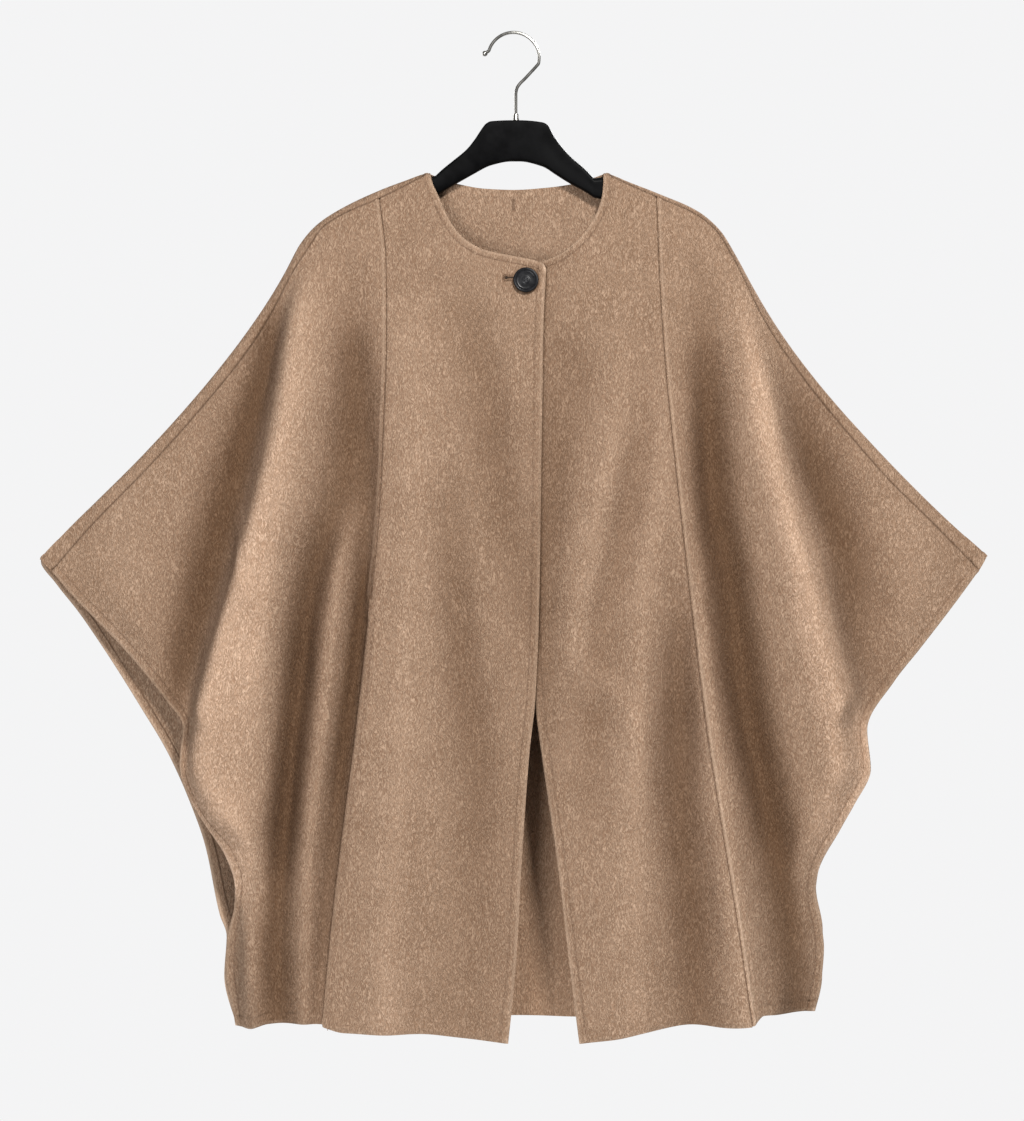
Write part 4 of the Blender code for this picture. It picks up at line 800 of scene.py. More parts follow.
def sewn(lines, across, height, in_front, edges, seams):
    """Relief, painted highlight and shade, and thinning from the edges and seams, each a line's name and its
    sizes.

    A third value keeps one to the cloth in front (True) or to the cloth behind (False).
    """
    lift, painted_shading, thinned = np.zeros((3, *across.shape))
    for parts, relief, shade, thin in (
        (edges, turned_relief, turned_painted_shading, THINNED), (seams, seam_relief, seam_painted_shading, 0.0)
    ):
        for line, sizes, *side in parts:
            away = distance_to(lines[line], across, height)
            if side:
                away = np.where(in_front == side[0], away, OUT_OF_REACH)
            lift += relief(away, sizes)
            painted_shading += shade(away, sizes)
            thinned += thin * np.exp(-((away / THIN_REACH) ** END_POWER))
    return lift, painted_shading, np.minimum(thinned, THINNED)


def waviness(points):
    """Slow unevenness of hung cloth, as a depth at each point."""
    noise_at = mathutils.noise.noise
    value = [
        sum(size * noise_at((x / wide + shift, y / wide, z / tall)) for size, wide, tall, shift in WAVES)
        for x, y, z in points.reshape(-1, 3).tolist()
    ]
    return WAVE_DEPTH * np.array(value).reshape(points.shape[:-1])


def creases_at(creases, across, height):
    """Narrow soft ridges and troughs, each bowed a little between its two ends."""
    depth = np.zeros(np.shape(across))
    for x0, z0, x1, z1, rise, reach in creases:
        run_x, run_z = x1 - x0, z1 - z0
        length = math.hypot(run_x, run_z)
        along = ((across - x0) * run_x + (height - z0) * run_z) / length**2
        off_line = ((across - x0) * run_z - (height - z0) * run_x) / length
        bow = CREASE_BOW * length * np.sin(math.pi * np.clip(along, 0.0, 1.0))
        fade = ease(along / CREASE_FADE) * ease((1.0 - along) / CREASE_FADE)
        depth += rise * fade * bump_at(off_line, bow, reach)
    return depth


def fold_rise(surface, across, height):
    """How far a fold stands out from the plain hang of the cloth, or sinks behind it; it sets the painted
    shade.
    """
    # The back's rise is strengthened for its painted shade; the front adds places that are only painted shade
    # or light
    if surface is back:
        return BACK_SHADING_STRENGTH * folds_at(BACK_FOLDS, across, height)[0]
    folds = folds_at(FRONT_FOLDS, across, height)[0] - seam_fall(across, height)
    return folds + folds_at(FRONT_PAINTED_LIGHT_AND_SHADE, across, height)[0]


def dressed(surface, across, height, lift):
    """Point and normal of the finished cloth: the part's surface, small creases and slow unevenness."""
    point, normal = surface(across, height), outward(surface, across, height)
    share = np.clip((shoulder(across)[0] - height - UNEVEN_FROM) / UNEVEN_OVER, 0.0, 1.0)
    creases = FRONT_CREASES if surface is front else BACK_CREASES
    lift = lift + (creases_at(creases, across, height) + waviness(point)) * share
    return point + normal * lift[..., None], normal


def mesh_object(name, points, faces, material):
    """A smooth piece that hangs with the part; points are in millimetres."""
    mesh = bpy.data.meshes.new(name)
    mesh.from_pydata((np.asarray(points) * MM).tolist(), [], faces)
    mesh.shade_smooth()
    mesh.set_sharp_from_angle(angle=math.radians(SHARP_ANGLE))
    mesh.materials.append(material)
    made = bpy.data.objects.new(name, mesh)
    bpy.context.scene.collection.objects.link(made)
    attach(made, "root")
    return made


def shell(name, outer, normal, thinned, rise, painted_shading, inner_rise, inner_painted_shading, material):
    """A closed thin wall of cloth behind its outer points. It keeps its folds' rise and its edges' painted
    highlight and shade.
    """
    rows, columns = outer.shape[:2]
    count = rows * columns
    index = np.arange(count).reshape(rows, columns)
    corners = (index[:-1, :-1], index[:-1, 1:], index[1:, 1:], index[1:, :-1])
    quads = np.stack(corners, axis=-1).reshape(-1, 4)
    faces = [quads[:, ::-1], quads + count]
    for edge in (index[0], index[-1, ::-1], index[::-1, 0], index[:, -1]):
        first, second = edge[:-1], edge[1:]
        faces.append(np.stack([first, second, second + count, first + count], axis=-1))
    inner = outer - (WALL - thinned)[..., None] * normal
    points = np.concatenate([outer.reshape(-1, 3), inner.reshape(-1, 3)])
    made = mesh_object(name, points, np.concatenate(faces).tolist(), material)
    for kept, outside, inside in (("fold_rise", rise, inner_rise), ("painted_edge_shading", painted_shading, inner_painted_shading)):
        values = np.concatenate([outside.ravel(), inside.ravel()]).astype(np.float32)
        made.data.attributes.new(kept, "FLOAT", "POINT").data.foreach_set("value", values)
    return made


def front_cloth(lines, node, outline, tops, gaps, edges, seams, material):
    """A fine front panel inside its outline: the left, right, top and bottom lines."""
    shares = graded(FRONT_ROWS, EVEN_ROWS)[1:]
    across, height = front_grid(outline, tops, DROPS, shares, (*gaps, OVERARM_GAP))
    lift, painted_shading, thinned = sewn(lines, across, height, True, edges, seams)
    sunk = tuck(across, height) if node == UNDER_LAYER else 0.0
    outer, normal = dressed(front, across, height, lift - sunk)
    rise = fold_rise(front, across, height) - sunk
    # An edge's painted highlight is kept clear of the painted hollow shade
    rise = np.maximum(rise, TONE_RISE * np.clip(painted_shading, 0.0, 1.0) - TONE_FLOOR)
    plain = np.zeros(across.shape)
    fields = (outer, normal, thinned, rise, painted_shading, plain + INSIDE_RISE, plain)
    return shell("cloth_" + node, *(field[:, ::-1] for field in fields), material)


def back_cloth(lines, node, side, tops, edges, seams, material):
    """A fine back panel from the overarm seam to the hem; side is its free edge."""
    wraps = np.linspace(0.0, 1.0, WRAP_ROWS + 1)
    across, height, in_front = back_grid(side, tops, wraps, graded(BACK_ROWS, EVEN_ROWS)[1:])
    lift, painted_shading, thinned = sewn(lines, across, height, in_front, edges, seams)
    fore, rear = (dressed(surface, across, height, lift) for surface in (front, back))
    outer, normal = (np.where(in_front[..., None], *pair) for pair in zip(fore, rear))
    rise = np.where(in_front, *(fold_rise(surface, across, height) for surface in (front, back)))
    # Inside: painted shade at the short seam mark, painted edge light and shade at the hem, painted light in
    # the slit
    mark_reach, mark_top, mark_foot = CENTRE_MARK
    seam_mark_shade = bump_at(across, 0.0, mark_reach) * (height < mark_top) * (height > mark_foot) * ~in_front
    hem_away = distance_to(lines[edges[0][0]], across, height)
    inner_painted_shading = INNER_TURN * turned_painted_shading(hem_away, edges[0][1]) - MARK_SHADE * seam_mark_shade
    lit = SLIT_LIGHT * ease((-height - SLIT_FROM) / SLIT_OVER) * bump_at(across, *SLIT_PLACE)
    fields = (outer, normal, thinned, rise, painted_shading, INSIDE_RISE + lit, inner_painted_shading)
    if side is BACK_SIDE_RIGHT:
        fields = tuple(field[:, ::-1] for field in fields)
    return shell("cloth_" + node, *fields, material)


# Materials
def node_material(name):
    material = bpy.data.materials.new(name)
    material.use_nodes = True
    return material, material.node_tree, material.node_tree.nodes["Principled BSDF"]


def put(tree, node, values):
    """Sets a node's inputs by name or number: a socket is linked, and a value is set on the input itself."""
    for key, value in values.items():
        socket = node.inputs[key]
        if isinstance(value, bpy.types.NodeSocket):
            tree.links.new(value, socket)
        elif socket.type == "RGBA":
            socket.default_value = (*value, 1.0)
        else:
            socket.default_value = value


def new_node(tree, kind, values, **settings):
    """The outputs of a new node of this kind."""
    node = tree.nodes.new("ShaderNode" + kind)
    for key, value in settings.items():
        setattr(node, key, value)
    put(tree, node, values)
    return node.outputs


def noise(tree, place, scale, detail, roughness=0.55):
    values = {"Vector": place, "Scale": scale, "Detail": detail, "Roughness": roughness, "Distortion": 0.0}
    return new_node(tree, "TexNoise", values)[0]


def maths(tree, operation, first, second):
    return new_node(tree, "Math", {0: first, 1: second}, operation=operation)[0]


def rest_of(tree, share):
    return maths(tree, "SUBTRACT", 1.0, share)


def between(tree, value, low, high):
    """0 at low and 1 at high, smooth between them."""
    values = {"Value": value, "From Min": low, "From Max": high}
    return new_node(tree, "MapRange", values, interpolation_type="SMOOTHSTEP")["Result"]


def mixed(tree, share, first, second, blend="MIX"):
    return new_node(tree, "Mix", {0: share, 6: first, 7: second}, data_type="RGBA", blend_type=blend)[2]


def mapped(tree, stretch=(1.0, 1.0, 1.0)):
    place = new_node(tree, "TexCoord", {})["Object"]
    return new_node(tree, "Mapping", {"Vector": place, "Scale": stretch})[0]


def kept_value(tree, name):
    return new_node(tree, "Attribute", {}, attribute_name=name)["Fac"]


def fibres(tree, turn, across, along, seed):
    """Short curled fibres: a stretched noise whose place is bent by a slower one."""
    place = mapped(tree)
    bend = new_node(tree, "TexNoise", {"Vector": place, "Scale": FIBRE_BEND_SCALE, "Detail": 1.0})["Color"]
    shift = new_node(tree, "VectorMath", {0: bend, "Scale": FIBRE_BEND}, operation="SCALE")[0]
    moved = new_node(tree, "VectorMath", {0: place, 1: shift})[0]
    placing = {"Location": (seed, 0.0, seed), "Rotation": (0.0, math.radians(turn), 0.0)}
    placing.update({"Vector": moved, "Scale": (across, FIBRE_DEEP, along)})
    stretched = new_node(tree, "Mapping", placing)[0]
    return noise(tree, stretched, 1.0, 1.0, 0.5)


def bumped(tree, height, strength, distance):
    return new_node(tree, "Bump", {"Height": height, "Strength": strength, "Distance": distance})[0]


def fold_shade(tree, colour):
    """Painted shade where the cloth is closed in, in hollows and inside; painted light on ridges and in the
    slit.
    """
    rise = kept_value(tree, "fold_rise")
    open_share = new_node(tree, "AmbientOcclusion", {"Distance": FOLD_DISTANCE}, samples=8)["AO"]
    outside = rest_of(tree, between(tree, rise, INSIDE_FROM, INSIDE_TO))
    closed = rest_of(tree, between(tree, open_share, FOLD_CLOSED, FOLD_OPEN))
    for share, tint in (
        (maths(tree, "MULTIPLY", closed, outside), FOLD_PAINTED_SHADE),
        (rest_of(tree, between(tree, rise, *HOLLOW_RISES)), HOLLOW_PAINTED_SHADE),
        (maths(tree, "MULTIPLY", outside, between(tree, rise, *RIDGE_RISES)), RIDGE_PAINTED_HIGHLIGHT),
        (rest_of(tree, outside), INSIDE_PAINTED_SHADE),
        (between(tree, rise, INSIDE_RISE + SLIT_MARGIN, INSIDE_RISE + SLIT_LIGHT), SLIT_PAINTED_LIGHT),
    ):
        colour = mixed(tree, share, colour, tint, "MULTIPLY")
    return colour


def wool_material(name):
    material, tree, shader = node_material(name)
    place = mapped(tree)
    cloudy = between(tree, noise(tree, place, CLOUD_SCALE, 3.0), *CLOUD_RANGE)
    clumps = between(tree, noise(tree, place, CLUMP_SCALE, 3.0, 0.65), *CLUMP_RANGE)
    lots = [(fibres(tree, *lot[:4]), *lot[4:]) for lot in FIBRES]
    light = maths(tree, "MAXIMUM", *(between(tree, lot, *lit) for lot, lit, _ in lots))
    dark = maths(tree, "MAXIMUM", *(between(tree, lot, *unlit) for lot, _, unlit in lots))
    painted_shading = kept_value(tree, "painted_edge_shading")
    colour = mixed(tree, cloudy, WOOL_SHADE, WOOL_BODY)
    for share, tint in (
        (maths(tree, "MULTIPLY", clumps, CLUMP_SHARE), WOOL_DARK),
        (maths(tree, "MULTIPLY", dark, FIBRE_DARK_SHARE), WOOL_DARK),
        (maths(tree, "MULTIPLY", light, FIBRE_LIGHT_SHARE), WOOL_PALE_AND_HIGHLIGHT),
        # Painted highlight along edges and seam rolls; painted shade in seams, stitched grooves and the seam
        # mark
        (between(tree, painted_shading, 0.0, 1.0), WOOL_PALE_AND_HIGHLIGHT), (between(tree, painted_shading, 0.0, -1.0), SEAM_AND_GROOVE_SHADE),
    ):
        colour = mixed(tree, share, colour, tint)
    lit, clumped = maths(tree, "MULTIPLY", light, NAP_LIGHT), maths(tree, "MULTIPLY", clumps, NAP_CLUMPS)
    nap = maths(tree, "ADD", lit, clumped)
    nap = maths(tree, "SUBTRACT", nap, maths(tree, "MULTIPLY", dark, NAP_DARK))
    put(tree, shader, {
        "Base Color": fold_shade(tree, colour), "Roughness": 0.95, "Specular IOR Level": 0.08,
        "Sheen Weight": 0.04, "Sheen Roughness": 0.6, "Sheen Tint": (0.95, 0.8, 0.68),
        "Normal": bumped(tree, nap, NAP_STRENGTH, NAP_DEPTH),
    })
    return material


def plain_material(
    name, first, second, roughness, spread, scale, gloss=0.2, metallic=0.0, stretch=(1.0, 1.0, 1.0)
):
    """Plastic, horn, wire or thread: slight changes of colour and roughness over a fine grain."""
    material, tree, shader = node_material(name)
    place = mapped(tree, stretch)
    uneven = between(tree, noise(tree, place, scale, 4.0), *CLOUD_RANGE)
    put(tree, shader, {
        "Base Color": mixed(tree, uneven, first, second), "Metallic": metallic, "Specular IOR Level": gloss,
        "Roughness": maths(tree, "ADD", maths(tree, "MULTIPLY", uneven, spread), roughness),
        "Normal": bumped(tree, noise(tree, place, scale * GRAIN_FINER, 2.0), GRAIN_STRENGTH, GRAIN_DEPTH),
    })
    return material


def floor_material(name):
    """A pale matt floor that fades into the backdrop toward its rim."""
    material, tree, shader = node_material(name)
    uneven = between(tree, noise(tree, mapped(tree), FLOOR_SCALE, 4.0), *CLOUD_RANGE)
    colour = mixed(tree, uneven, FLOOR_DARK, FLOOR_PALE)
    put(tree, shader, {"Base Color": colour, "Roughness": 0.9, "Specular IOR Level": 0.1})
    away = new_node(tree, "VectorMath", {0: mapped(tree, (1.0, 1.0, 0.0))}, operation="LENGTH")["Value"]
    clear = new_node(tree, "BsdfTransparent", {})[0]
    fade = between(tree, away, *FLOOR_FADE)
    faded = new_node(tree, "MixShader", {0: fade, 1: shader.outputs[0], 2: clear})[0]
    put(tree, tree.nodes["Material Output"], {"Surface": faded})
    return material


# Edge stitches: surface, line, its first point, side, distance in, rise, covered by the other front
STITCH_RUNS = (
    (front, "edge_over", 0, -1, 8.0, 0.0, False),
    (front, "edge_under", 125, 1, 9.0, 0.0, True),
    (front, "neck_right", 0, -1, 7.0, 0.0, False),
    (front, "neck_left", 0, -1, 7.0, 0.0, True),
    (back, "neck_back", 0, -1, 7.0, 0.0, False),
    (front, "proud_right", 0, 1, 6.5, 0.3, False),
    (back, "back_side_right", 0, 1, 8.5, 0.0, False),
    (back, "back_side_left", 0, -1, 8.5, 0.0, False),
    (front, "side_right", 0, 1, 8.5, 0.0, False),
    (front, "side_left", 0, -1, 8.5, 0.0, False),
)


def inward_of(line, side):
    """Unit direction into the cloth, in the plane of the front view. side 1 is to the line's left."""
    along = np.gradient(line, axis=0)
    along /= np.linalg.norm(along, axis=1, keepdims=True)
    return side * np.stack([-along[:, 1], along[:, 0]], axis=-1)


def stitch_run(surface, line, side, inset, rise, covered):
    """Hand-picked stitches along an edge: middle, direction and normal of each."""
    place = line + inward_of(line, side) * inset
    place[:, 1] = np.minimum(place[:, 1], curve(RIDGE, place[:, 0]) - BELOW_RIDGE)
    across, height = place.T
    lift = np.full(len(place), rise) - (tuck(across, height) if covered else 0.0)
    point, normal = dressed(surface, across, height, lift)
    run = np.concatenate([[0.0], np.cumsum(np.linalg.norm(np.diff(point, axis=0), axis=1))])
    at = np.arange(STITCH_PITCH, run[-1] - STITCH_PITCH / 2.0, STITCH_PITCH)
    middle, ahead, up = (
        np.stack([np.interp(spots, run, field[:, i]) for i in range(3)], axis=-1)
        for spots, field in ((at, point), (at + STITCH_AHEAD, point), (at, normal))
    )
    return middle, ahead - middle, up


def threads(name, runs, length, width, material, seed):
    """Short rounded threads as one mesh, each a little uneven."""
    chance = random.Random(seed)
    points, faces = [], []
    one = ring_faces(len(THREAD_RINGS), THREAD_SIDES)
    for middles, alongs, ups in runs:
        for middle, along, up in zip(middles, alongs, ups):
            along = along / np.linalg.norm(along)
            over = np.cross(up, along)
            over /= np.linalg.norm(over)
            half = length / 2.0 * chance.uniform(*THREAD_LENGTHS)
            wide = width / 2.0 * chance.uniform(*THREAD_WIDTHS)
            shift = over * chance.uniform(-THREAD_SIDEWAYS, THREAD_SIDEWAYS)
            shift = shift + along * chance.uniform(-THREAD_ALONG, THREAD_ALONG)
            first = len(points)
            for reach, size, sink in THREAD_RINGS:
                for turn in np.arange(THREAD_SIDES) * (2.0 * math.pi / THREAD_SIDES):
                    offset = over * math.cos(turn) + up * (math.sin(turn) + sink)
                    points.append(middle + shift + along * reach * half + offset * wide * size)
            faces += [[first + corner for corner in face] for face in one]
    return mesh_object(name, points, faces, material)


def ring_faces(rings, around, turned_back=False):
    """Quads between neighbouring closed rings of points, and a cap at each end."""
    index = np.arange(rings * around).reshape(-1, around)
    beyond = np.roll(index, -1, axis=1)
    quads = np.stack([index[:-1], beyond[:-1], beyond[1:], index[1:]], axis=-1).reshape(-1, 4)
    first, last = index[0, ::-1], index[-1]
    if turned_back:
        quads, first, last = quads[:, [0, 3, 2, 1]], first[::-1], last[::-1]
    return [*quads.tolist(), first.tolist(), last.tolist()]


# Cloth panels
def sewn_lines():
    """Every stitched or sewn line, as points across and up."""
    lines = {name: down_line(*line) for name, line in DOWN_LINES.items()}
    lines.update((name, across_line(rows)) for name, rows in ACROSS_LINES.items())
    return lines


def panel_tops():
    """Places of each panel's columns along its top."""
    even = np.linspace(0.0, 1.0, SHOULDER_COLUMNS + 1)
    side, neck = graded(SIDE_COLUMNS, EVEN_SIDE), graded(CENTRE_COLUMNS, EVEN_NECK)
    nape = graded(BACK_NECK_COLUMNS, EVEN_NECK)
    neck_start, neck_end, centre = NECK_BACK[0][0], NECK_BACK[-1][0], CENTRE_BACK[-1][1]
    corner_right, corner_left = NECK_FRONT_RIGHT[-1][0], NECK_FRONT_LEFT[0][0]
    wing_right, wing_left = (places(OVERARM_SEAM, *span, side) for span in (WING_RIGHT, WING_LEFT))
    slope_right, slope_left = (places(OVERARM_SEAM, *span, even) for span in (SHOULDER_RIGHT, SHOULDER_LEFT))
    return {
        "front_centre_right": joined(slope_right, places(TOP_RIGHT, neck_start, corner_right, neck)),
        "front_centre_left": joined(places(TOP_LEFT, corner_left, neck_end, neck), slope_left),
        "front_side_right": wing_right,
        "front_side_left": wing_left,
        "back_right": joined(wing_right, slope_right, places(NECK_BACK, neck_start, centre, nape))[::-1],
        "back_left": joined(places(NECK_BACK, centre, neck_end, nape), slope_left, wing_left),
    }


def cloth_pieces(lines, wool):
    """The six panels, by the name of the CAD node that each one stands for."""
    tops = panel_tops()
    made = {}
    for node, outline, gaps, edges, seams in FRONT_PANELS:
        made[node] = front_cloth(lines, node, outline, tops[node], gaps, edges, seams, wool)
    for node, side, edges, seams in BACK_PANELS:
        made[node] = back_cloth(lines, node, side, tops[node], edges, seams, wool)
    return made


# Button, buttonhole, hook and hanger
def upright_axes(normal):
    """Directions to the side and up on a face with this normal."""
    side = np.cross((0.0, 0.0, 1.0), normal)
    side /= np.linalg.norm(side)
    return side, np.cross(normal, side)


def hanger_piece(material):
    """The hanger's body on the part's own lines, its yoke a smooth curve."""
    stations = []
    for place in np.concatenate([np.linspace(*span, HANGER_STEPS) for span in (ARM_RIGHT, ARM_LEFT)]):
        spine, radius, level = (float(value) for value in shoulder(np.array(place)))
        half = radius - WALL - HANGER_CLEARANCE
        outward_share = min(1.0, (abs(place) - ARM_START) / ARM_LENGTH)
        depth = ARM_DEPTH_NECK + (ARM_DEPTH_END - ARM_DEPTH_NECK) * outward_share
        top = spine + half / level
        stations.append((place, top, top - depth, half, half - LEAST_SIDE))
    stations.sort()
    arm_ends = (stations[0], stations[-1])
    full_round = YOKE_HALF - LEAST_SIDE
    for place in np.linspace(HANGER_YOKE[0][0], HANGER_YOKE[-1][0], YOKE_STEPS):
        rounding = YOKE_ROUND + (full_round - YOKE_ROUND) * max(0.0, (abs(place) - YOKE_SQUARE) / YOKE_BLEND)
        top, bottom = (float(curve(HANGER_YOKE, place, column)) for column in (1, 2))
        stations.append((place, top, bottom, YOKE_HALF, min(rounding, full_round)))
    for place, near in zip(ARM_ENDS, arm_ends):
        sign = math.copysign(1.0, place)
        for step, scale in ARM_END_STEPS:
            middle = (near[1] + near[2]) / 2.0 - ARM_END_SLOPE * (abs(place) + step - abs(near[0]))
            reach, half = (near[1] - near[2]) / 2.0 * scale, near[3] * scale
            stations.append((place + sign * step, middle + reach, middle - reach, half, half - END_SIDE))
    rings = []
    for place, top, bottom, half, rounding in sorted(stations):
        turns = np.linspace(0.0, math.pi / 2.0, ROUND_STEPS)
        ring = [(half - rounding * (1.0 - math.sin(t)), top - rounding * (1.0 - math.cos(t))) for t in turns]
        chamfer = min(HANGER_CHAMFER, CHAMFER_SHARE * half)
        ring += [(half, bottom + chamfer), (half - chamfer, bottom)]
        ring += [(-depth, level) for depth, level in ring[::-1]]
        rings.append([(place, depth, level) for depth, level in ring[::-1]])
    rings = np.array(rings)
    return mesh_object(
        "hanger_shell", rings.reshape(-1, 3), ring_faces(*rings.shape[:2]), material
    )


def hook_piece(material):
    """The wire hook and its ball end, on the part's own line."""
    centre_x, centre_z = HOOK_CENTRE
    turns = np.radians(np.linspace(*HOOK_TURN, BEND_STEPS))
    bend = [(centre_x + HOOK_RADIUS * math.cos(t), centre_z + HOOK_RADIUS * math.sin(t)) for t in turns]
    path = np.array([*HOOK_STEM, *bend, HOOK_TIP])
    run = np.concatenate([[0.0], np.cumsum(np.linalg.norm(np.diff(path, axis=0), axis=1))])
    at = np.linspace(0.0, run[-1], HOOK_POINTS)
    line = np.stack([curve(np.stack([run, path[:, i]], axis=-1).tolist(), at) for i in range(2)], axis=-1)
    along = line[-1] - line[-2]
    along /= np.linalg.norm(along)
    join = math.asin(HOOK_WIRE / 2.0 / HOOK_BALL)
    turn = join + (BALL_TURN - join) * np.linspace(0.0, 1.0, BALL_STEPS)
    reach = HOOK_BALL * (math.cos(join) - np.cos(turn))
    path = np.concatenate([line, line[-1] + reach[1:, None] * along])
    radii = np.concatenate([np.full(len(line), HOOK_WIRE / 2.0), HOOK_BALL * np.sin(turn[1:])])
    ahead = np.gradient(path, axis=0)
    ahead /= np.linalg.norm(ahead, axis=1, keepdims=True)
    around = np.linspace(0.0, 2.0 * math.pi, WIRE_SIDES, endpoint=False)
    out = np.stack([-ahead[:, 1], ahead[:, 0]], axis=-1)
    flat = path[:, None] + (out[:, None] * np.cos(around)[:, None]) * radii[:, None, None]
    points = np.stack([flat[..., 0], np.sin(around) * radii[:, None], flat[..., 1]], axis=-1)
    return mesh_object(
        "hook_wire", points.reshape(-1, 3), ring_faces(len(path), WIRE_SIDES), material
    )


def button_piece(seat, normal, material):
    """The button, turned round its normal: raised rim, sunk face, low boss with four thread holes."""
    rim, thick = BUTTON_DIAMETER / 2.0, BUTTON_THICKNESS
    under_from, under_to = (rim - inset for inset in BUTTON_UNDER)
    rows = [(radius, BOSS_DROP + BOSS_STEP * float(ease((radius - BOSS_FROM) / BOSS_OVER)))
            for radius in np.arange(*BUTTON_BOSS)]
    rows += [*BUTTON_FACE, *((rim - inset, drop) for inset, drop in BUTTON_RIM), (under_from, thick)]
    rows += [(radius, thick) for radius in np.linspace(under_to, BUTTON_INNER, BUTTON_UNDER_RINGS)]
    radius, drop = (np.array(values)[:, None] for values in zip(*rows))
    turns = np.linspace(0.0, 2.0 * math.pi, BUTTON_SIDES, endpoint=False)
    side, upward = upright_axes(normal)
    across, up = radius * np.cos(turns), radius * np.sin(turns)
    level = thick - drop + np.zeros(BUTTON_SIDES)
    upper = np.arange(len(rows))[:, None] < len(rows) // 2
    for x in (-BUTTON_HOLES, BUTTON_HOLES):
        for z in (-BUTTON_HOLES, BUTTON_HOLES):
            inside = (HOLE_RADIUS - np.hypot(across - x, up - z)) / (HOLE_RADIUS / 2.0)
            level -= np.where(upper, HOLE_DEPTH * ease(inside), 0.0)
    points = seat + across[..., None] * side + up[..., None] * upward + level[..., None] * normal
    faces = ring_faces(len(rows), BUTTON_SIDES, True)
    return mesh_object("button_turned", points.reshape(-1, 3), faces, material)


def button_threads(seat, normal):
    """Threads that cross the button's boss from hole to hole."""
    side, upward = upright_axes(normal)
    level = normal * (BUTTON_THICKNESS - BOSS_DROP)
    middles = []
    for shift in (-THREAD_SPREAD, 0.0, THREAD_SPREAD):
        middles += [seat + level + upward * (row + shift) for row in (-BUTTON_HOLES, BUTTON_HOLES)]
    return middles, [side] * len(middles), [normal] * len(middles)


def buttonhole_threads():
    """Worked threads round a keyhole, as middle, direction and normal."""
    eye_x, eye_z = BUTTONHOLE_EYE
    spots = []
    for turn in np.radians(np.arange(*EYE_TURNS)):
        x, z = math.cos(turn), math.sin(turn)
        spots.append((eye_x + x * EYE_THREADS, eye_z + z * EYE_THREADS, x, z))
    for side in (-1.0, 1.0):
        for step in np.arange(0.0, 1.0, BUTTONHOLE_PITCH / BUTTONHOLE_LENGTH):
            spots.append((eye_x + ROW_FROM + BUTTONHOLE_LENGTH * step, eye_z + side * ROW_APART, 0.0, side))
    across, height, away_x, away_z = np.array(spots).T
    lift = np.full(len(spots), THREAD_LIFT)
    point, normal = dressed(front, across, height, lift)
    return point, dressed(front, across + away_x, height + away_z, lift)[0] - point, normal


def slit_core(material):
    """Painted shade inside the keyhole: a dark sheet over a small eyelet and the closed slit beside it."""
    eye_x, eye_z = BUTTONHOLE_EYE
    turns = np.radians(np.arange(*SLIT_TURNS))
    outline = [(eye_x + SLIT_EYE * math.cos(turn), eye_z + SLIT_EYE * math.sin(turn)) for turn in turns]
    outline += [(eye_x + BUTTONHOLE_LENGTH, eye_z + half) for half in (-SLIT_HALF, SLIT_HALF)]
    count = len(outline)
    point, normal = dressed(front, *np.array(outline).T, np.full(count, SLIT_LIFT))
    faces = [tuple(range(count)), tuple(range(2 * count - 1, count - 1, -1))]
    faces += [(k, (k + 1) % count, (k + 1) % count + count, k + count)[::-1] for k in range(count)]
    points = np.concatenate([point, point - SLIT_DEEP * normal])
    return mesh_object("buttonhole_slit_shade", points, faces, material)


# Studio
def placed(name, data, location):
    made = bpy.data.objects.new(name, data)
    made.location = location
    bpy.context.scene.collection.objects.link(made)
    return made


def set_world():
    """The camera sees a pale backdrop, and the cloth is lit by a weaker one."""
    world = bpy.data.worlds.new("pale room")
    world.use_nodes = True
    tree = world.node_tree
    seen = tree.nodes["Background"]
    put(tree, seen, {"Color": BACKDROP, "Strength": 1.0})
    lit = new_node(tree, "Background", {"Color": AMBIENT_TINT, "Strength": AMBIENT})[0]
    from_camera = new_node(tree, "LightPath", {})["Is Camera Ray"]
    chosen = new_node(tree, "MixShader", {0: from_camera, 1: lit, 2: seen.outputs[0]})[0]
    put(tree, tree.nodes["World Output"], {0: chosen})
    bpy.context.scene.world = world


def set_lamps():
    for name, place, target, size, power, colour in LAMPS:
        light = bpy.data.lights.new(name, "AREA")
        light.shape = "RECTANGLE"
        light.size = light.size_y = size
        light.energy = power
        light.color = colour
        toward = mathutils.Vector(target) - mathutils.Vector(place)
        placed(name, light, place).rotation_euler = toward.to_track_quat("-Z", "Y").to_euler()


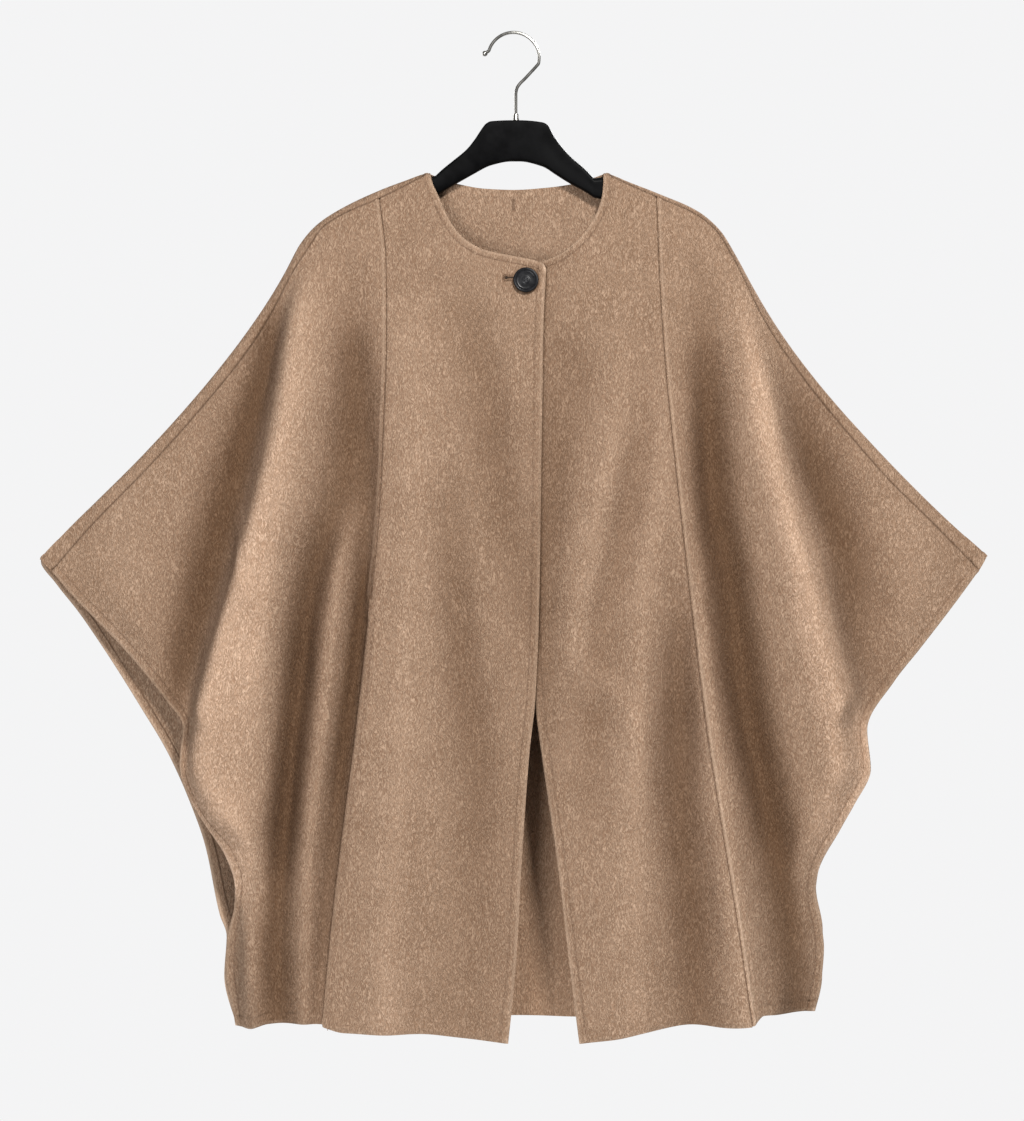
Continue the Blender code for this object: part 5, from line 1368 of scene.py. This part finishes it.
def set_camera():
    camera = bpy.data.cameras.new("photo camera")
    camera.sensor_width = SENSOR
    camera.lens = SENSOR * CAMERA_DISTANCE / PHOTO_HEIGHT
    made = placed("photo camera", camera, (CAMERA_ACROSS, -CAMERA_DISTANCE - CLOTH_DEPTH, CAMERA_HEIGHT))
    made.rotation_euler = (math.radians(90.0), 0.0, 0.0)
    bpy.context.scene.camera = made


def set_floor():
    mesh = bpy.data.meshes.new("floor")
    turns = np.linspace(0.0, 2.0 * math.pi, FLOOR_SIDES, endpoint=False)
    points = [(FLOOR_RADIUS * math.cos(turn), FLOOR_RADIUS * math.sin(turn), FLOOR_LEVEL) for turn in turns]
    mesh.from_pydata(points, [], [list(range(FLOOR_SIDES))])
    mesh.materials.append(floor_material("floor finish"))
    placed("floor", mesh, (0.0, 0.0, 0.0))


bpy.context.scene.view_settings.view_transform = "Standard"
set_camera()
set_world()
set_lamps()
set_floor()

lines = sewn_lines()
cloth = cloth_pieces(lines, wool_material("wool cloth finish"))
for node, piece in cloth.items():
    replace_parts(piece, node)
finish = {name: plain_material(name, *values) for name, values in FINISHES.items()}
runs = [
    stitch_run(surface, lines[line][first:], side, inset, rise, covered)
    for surface, line, first, side, inset, rise, covered in STITCH_RUNS
]
threads("edge_stitches", runs, STITCH_LENGTH, STITCH_WIDTH, finish["stitch thread"], 5)

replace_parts(hook_piece(finish["hook wire finish"]), "hanger_hook")
across, height = (np.array(value) for value in BUTTON_PLACE)
normal = outward(front, across, height)
seat = front(across, height) + normal * BUTTON_LIFT
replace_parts(button_piece(seat, normal, finish["button finish"]), "button")
threads("button_threads", (button_threads(seat, normal),), *BUTTON_THREAD, finish["button thread"], 8)
worked = finish["buttonhole thread"]
threads("buttonhole_stitches", (buttonhole_threads(),), *BUTTONHOLE_THREAD, worked, 9)
slit_core(finish["buttonhole shade"])
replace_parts(hanger_piece(finish["hanger plastic finish"]), "hanger_body")
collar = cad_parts["hanger_collar"].data
collar.materials.clear()
collar.materials.append(finish["hook wire finish"])
collar.shade_smooth()
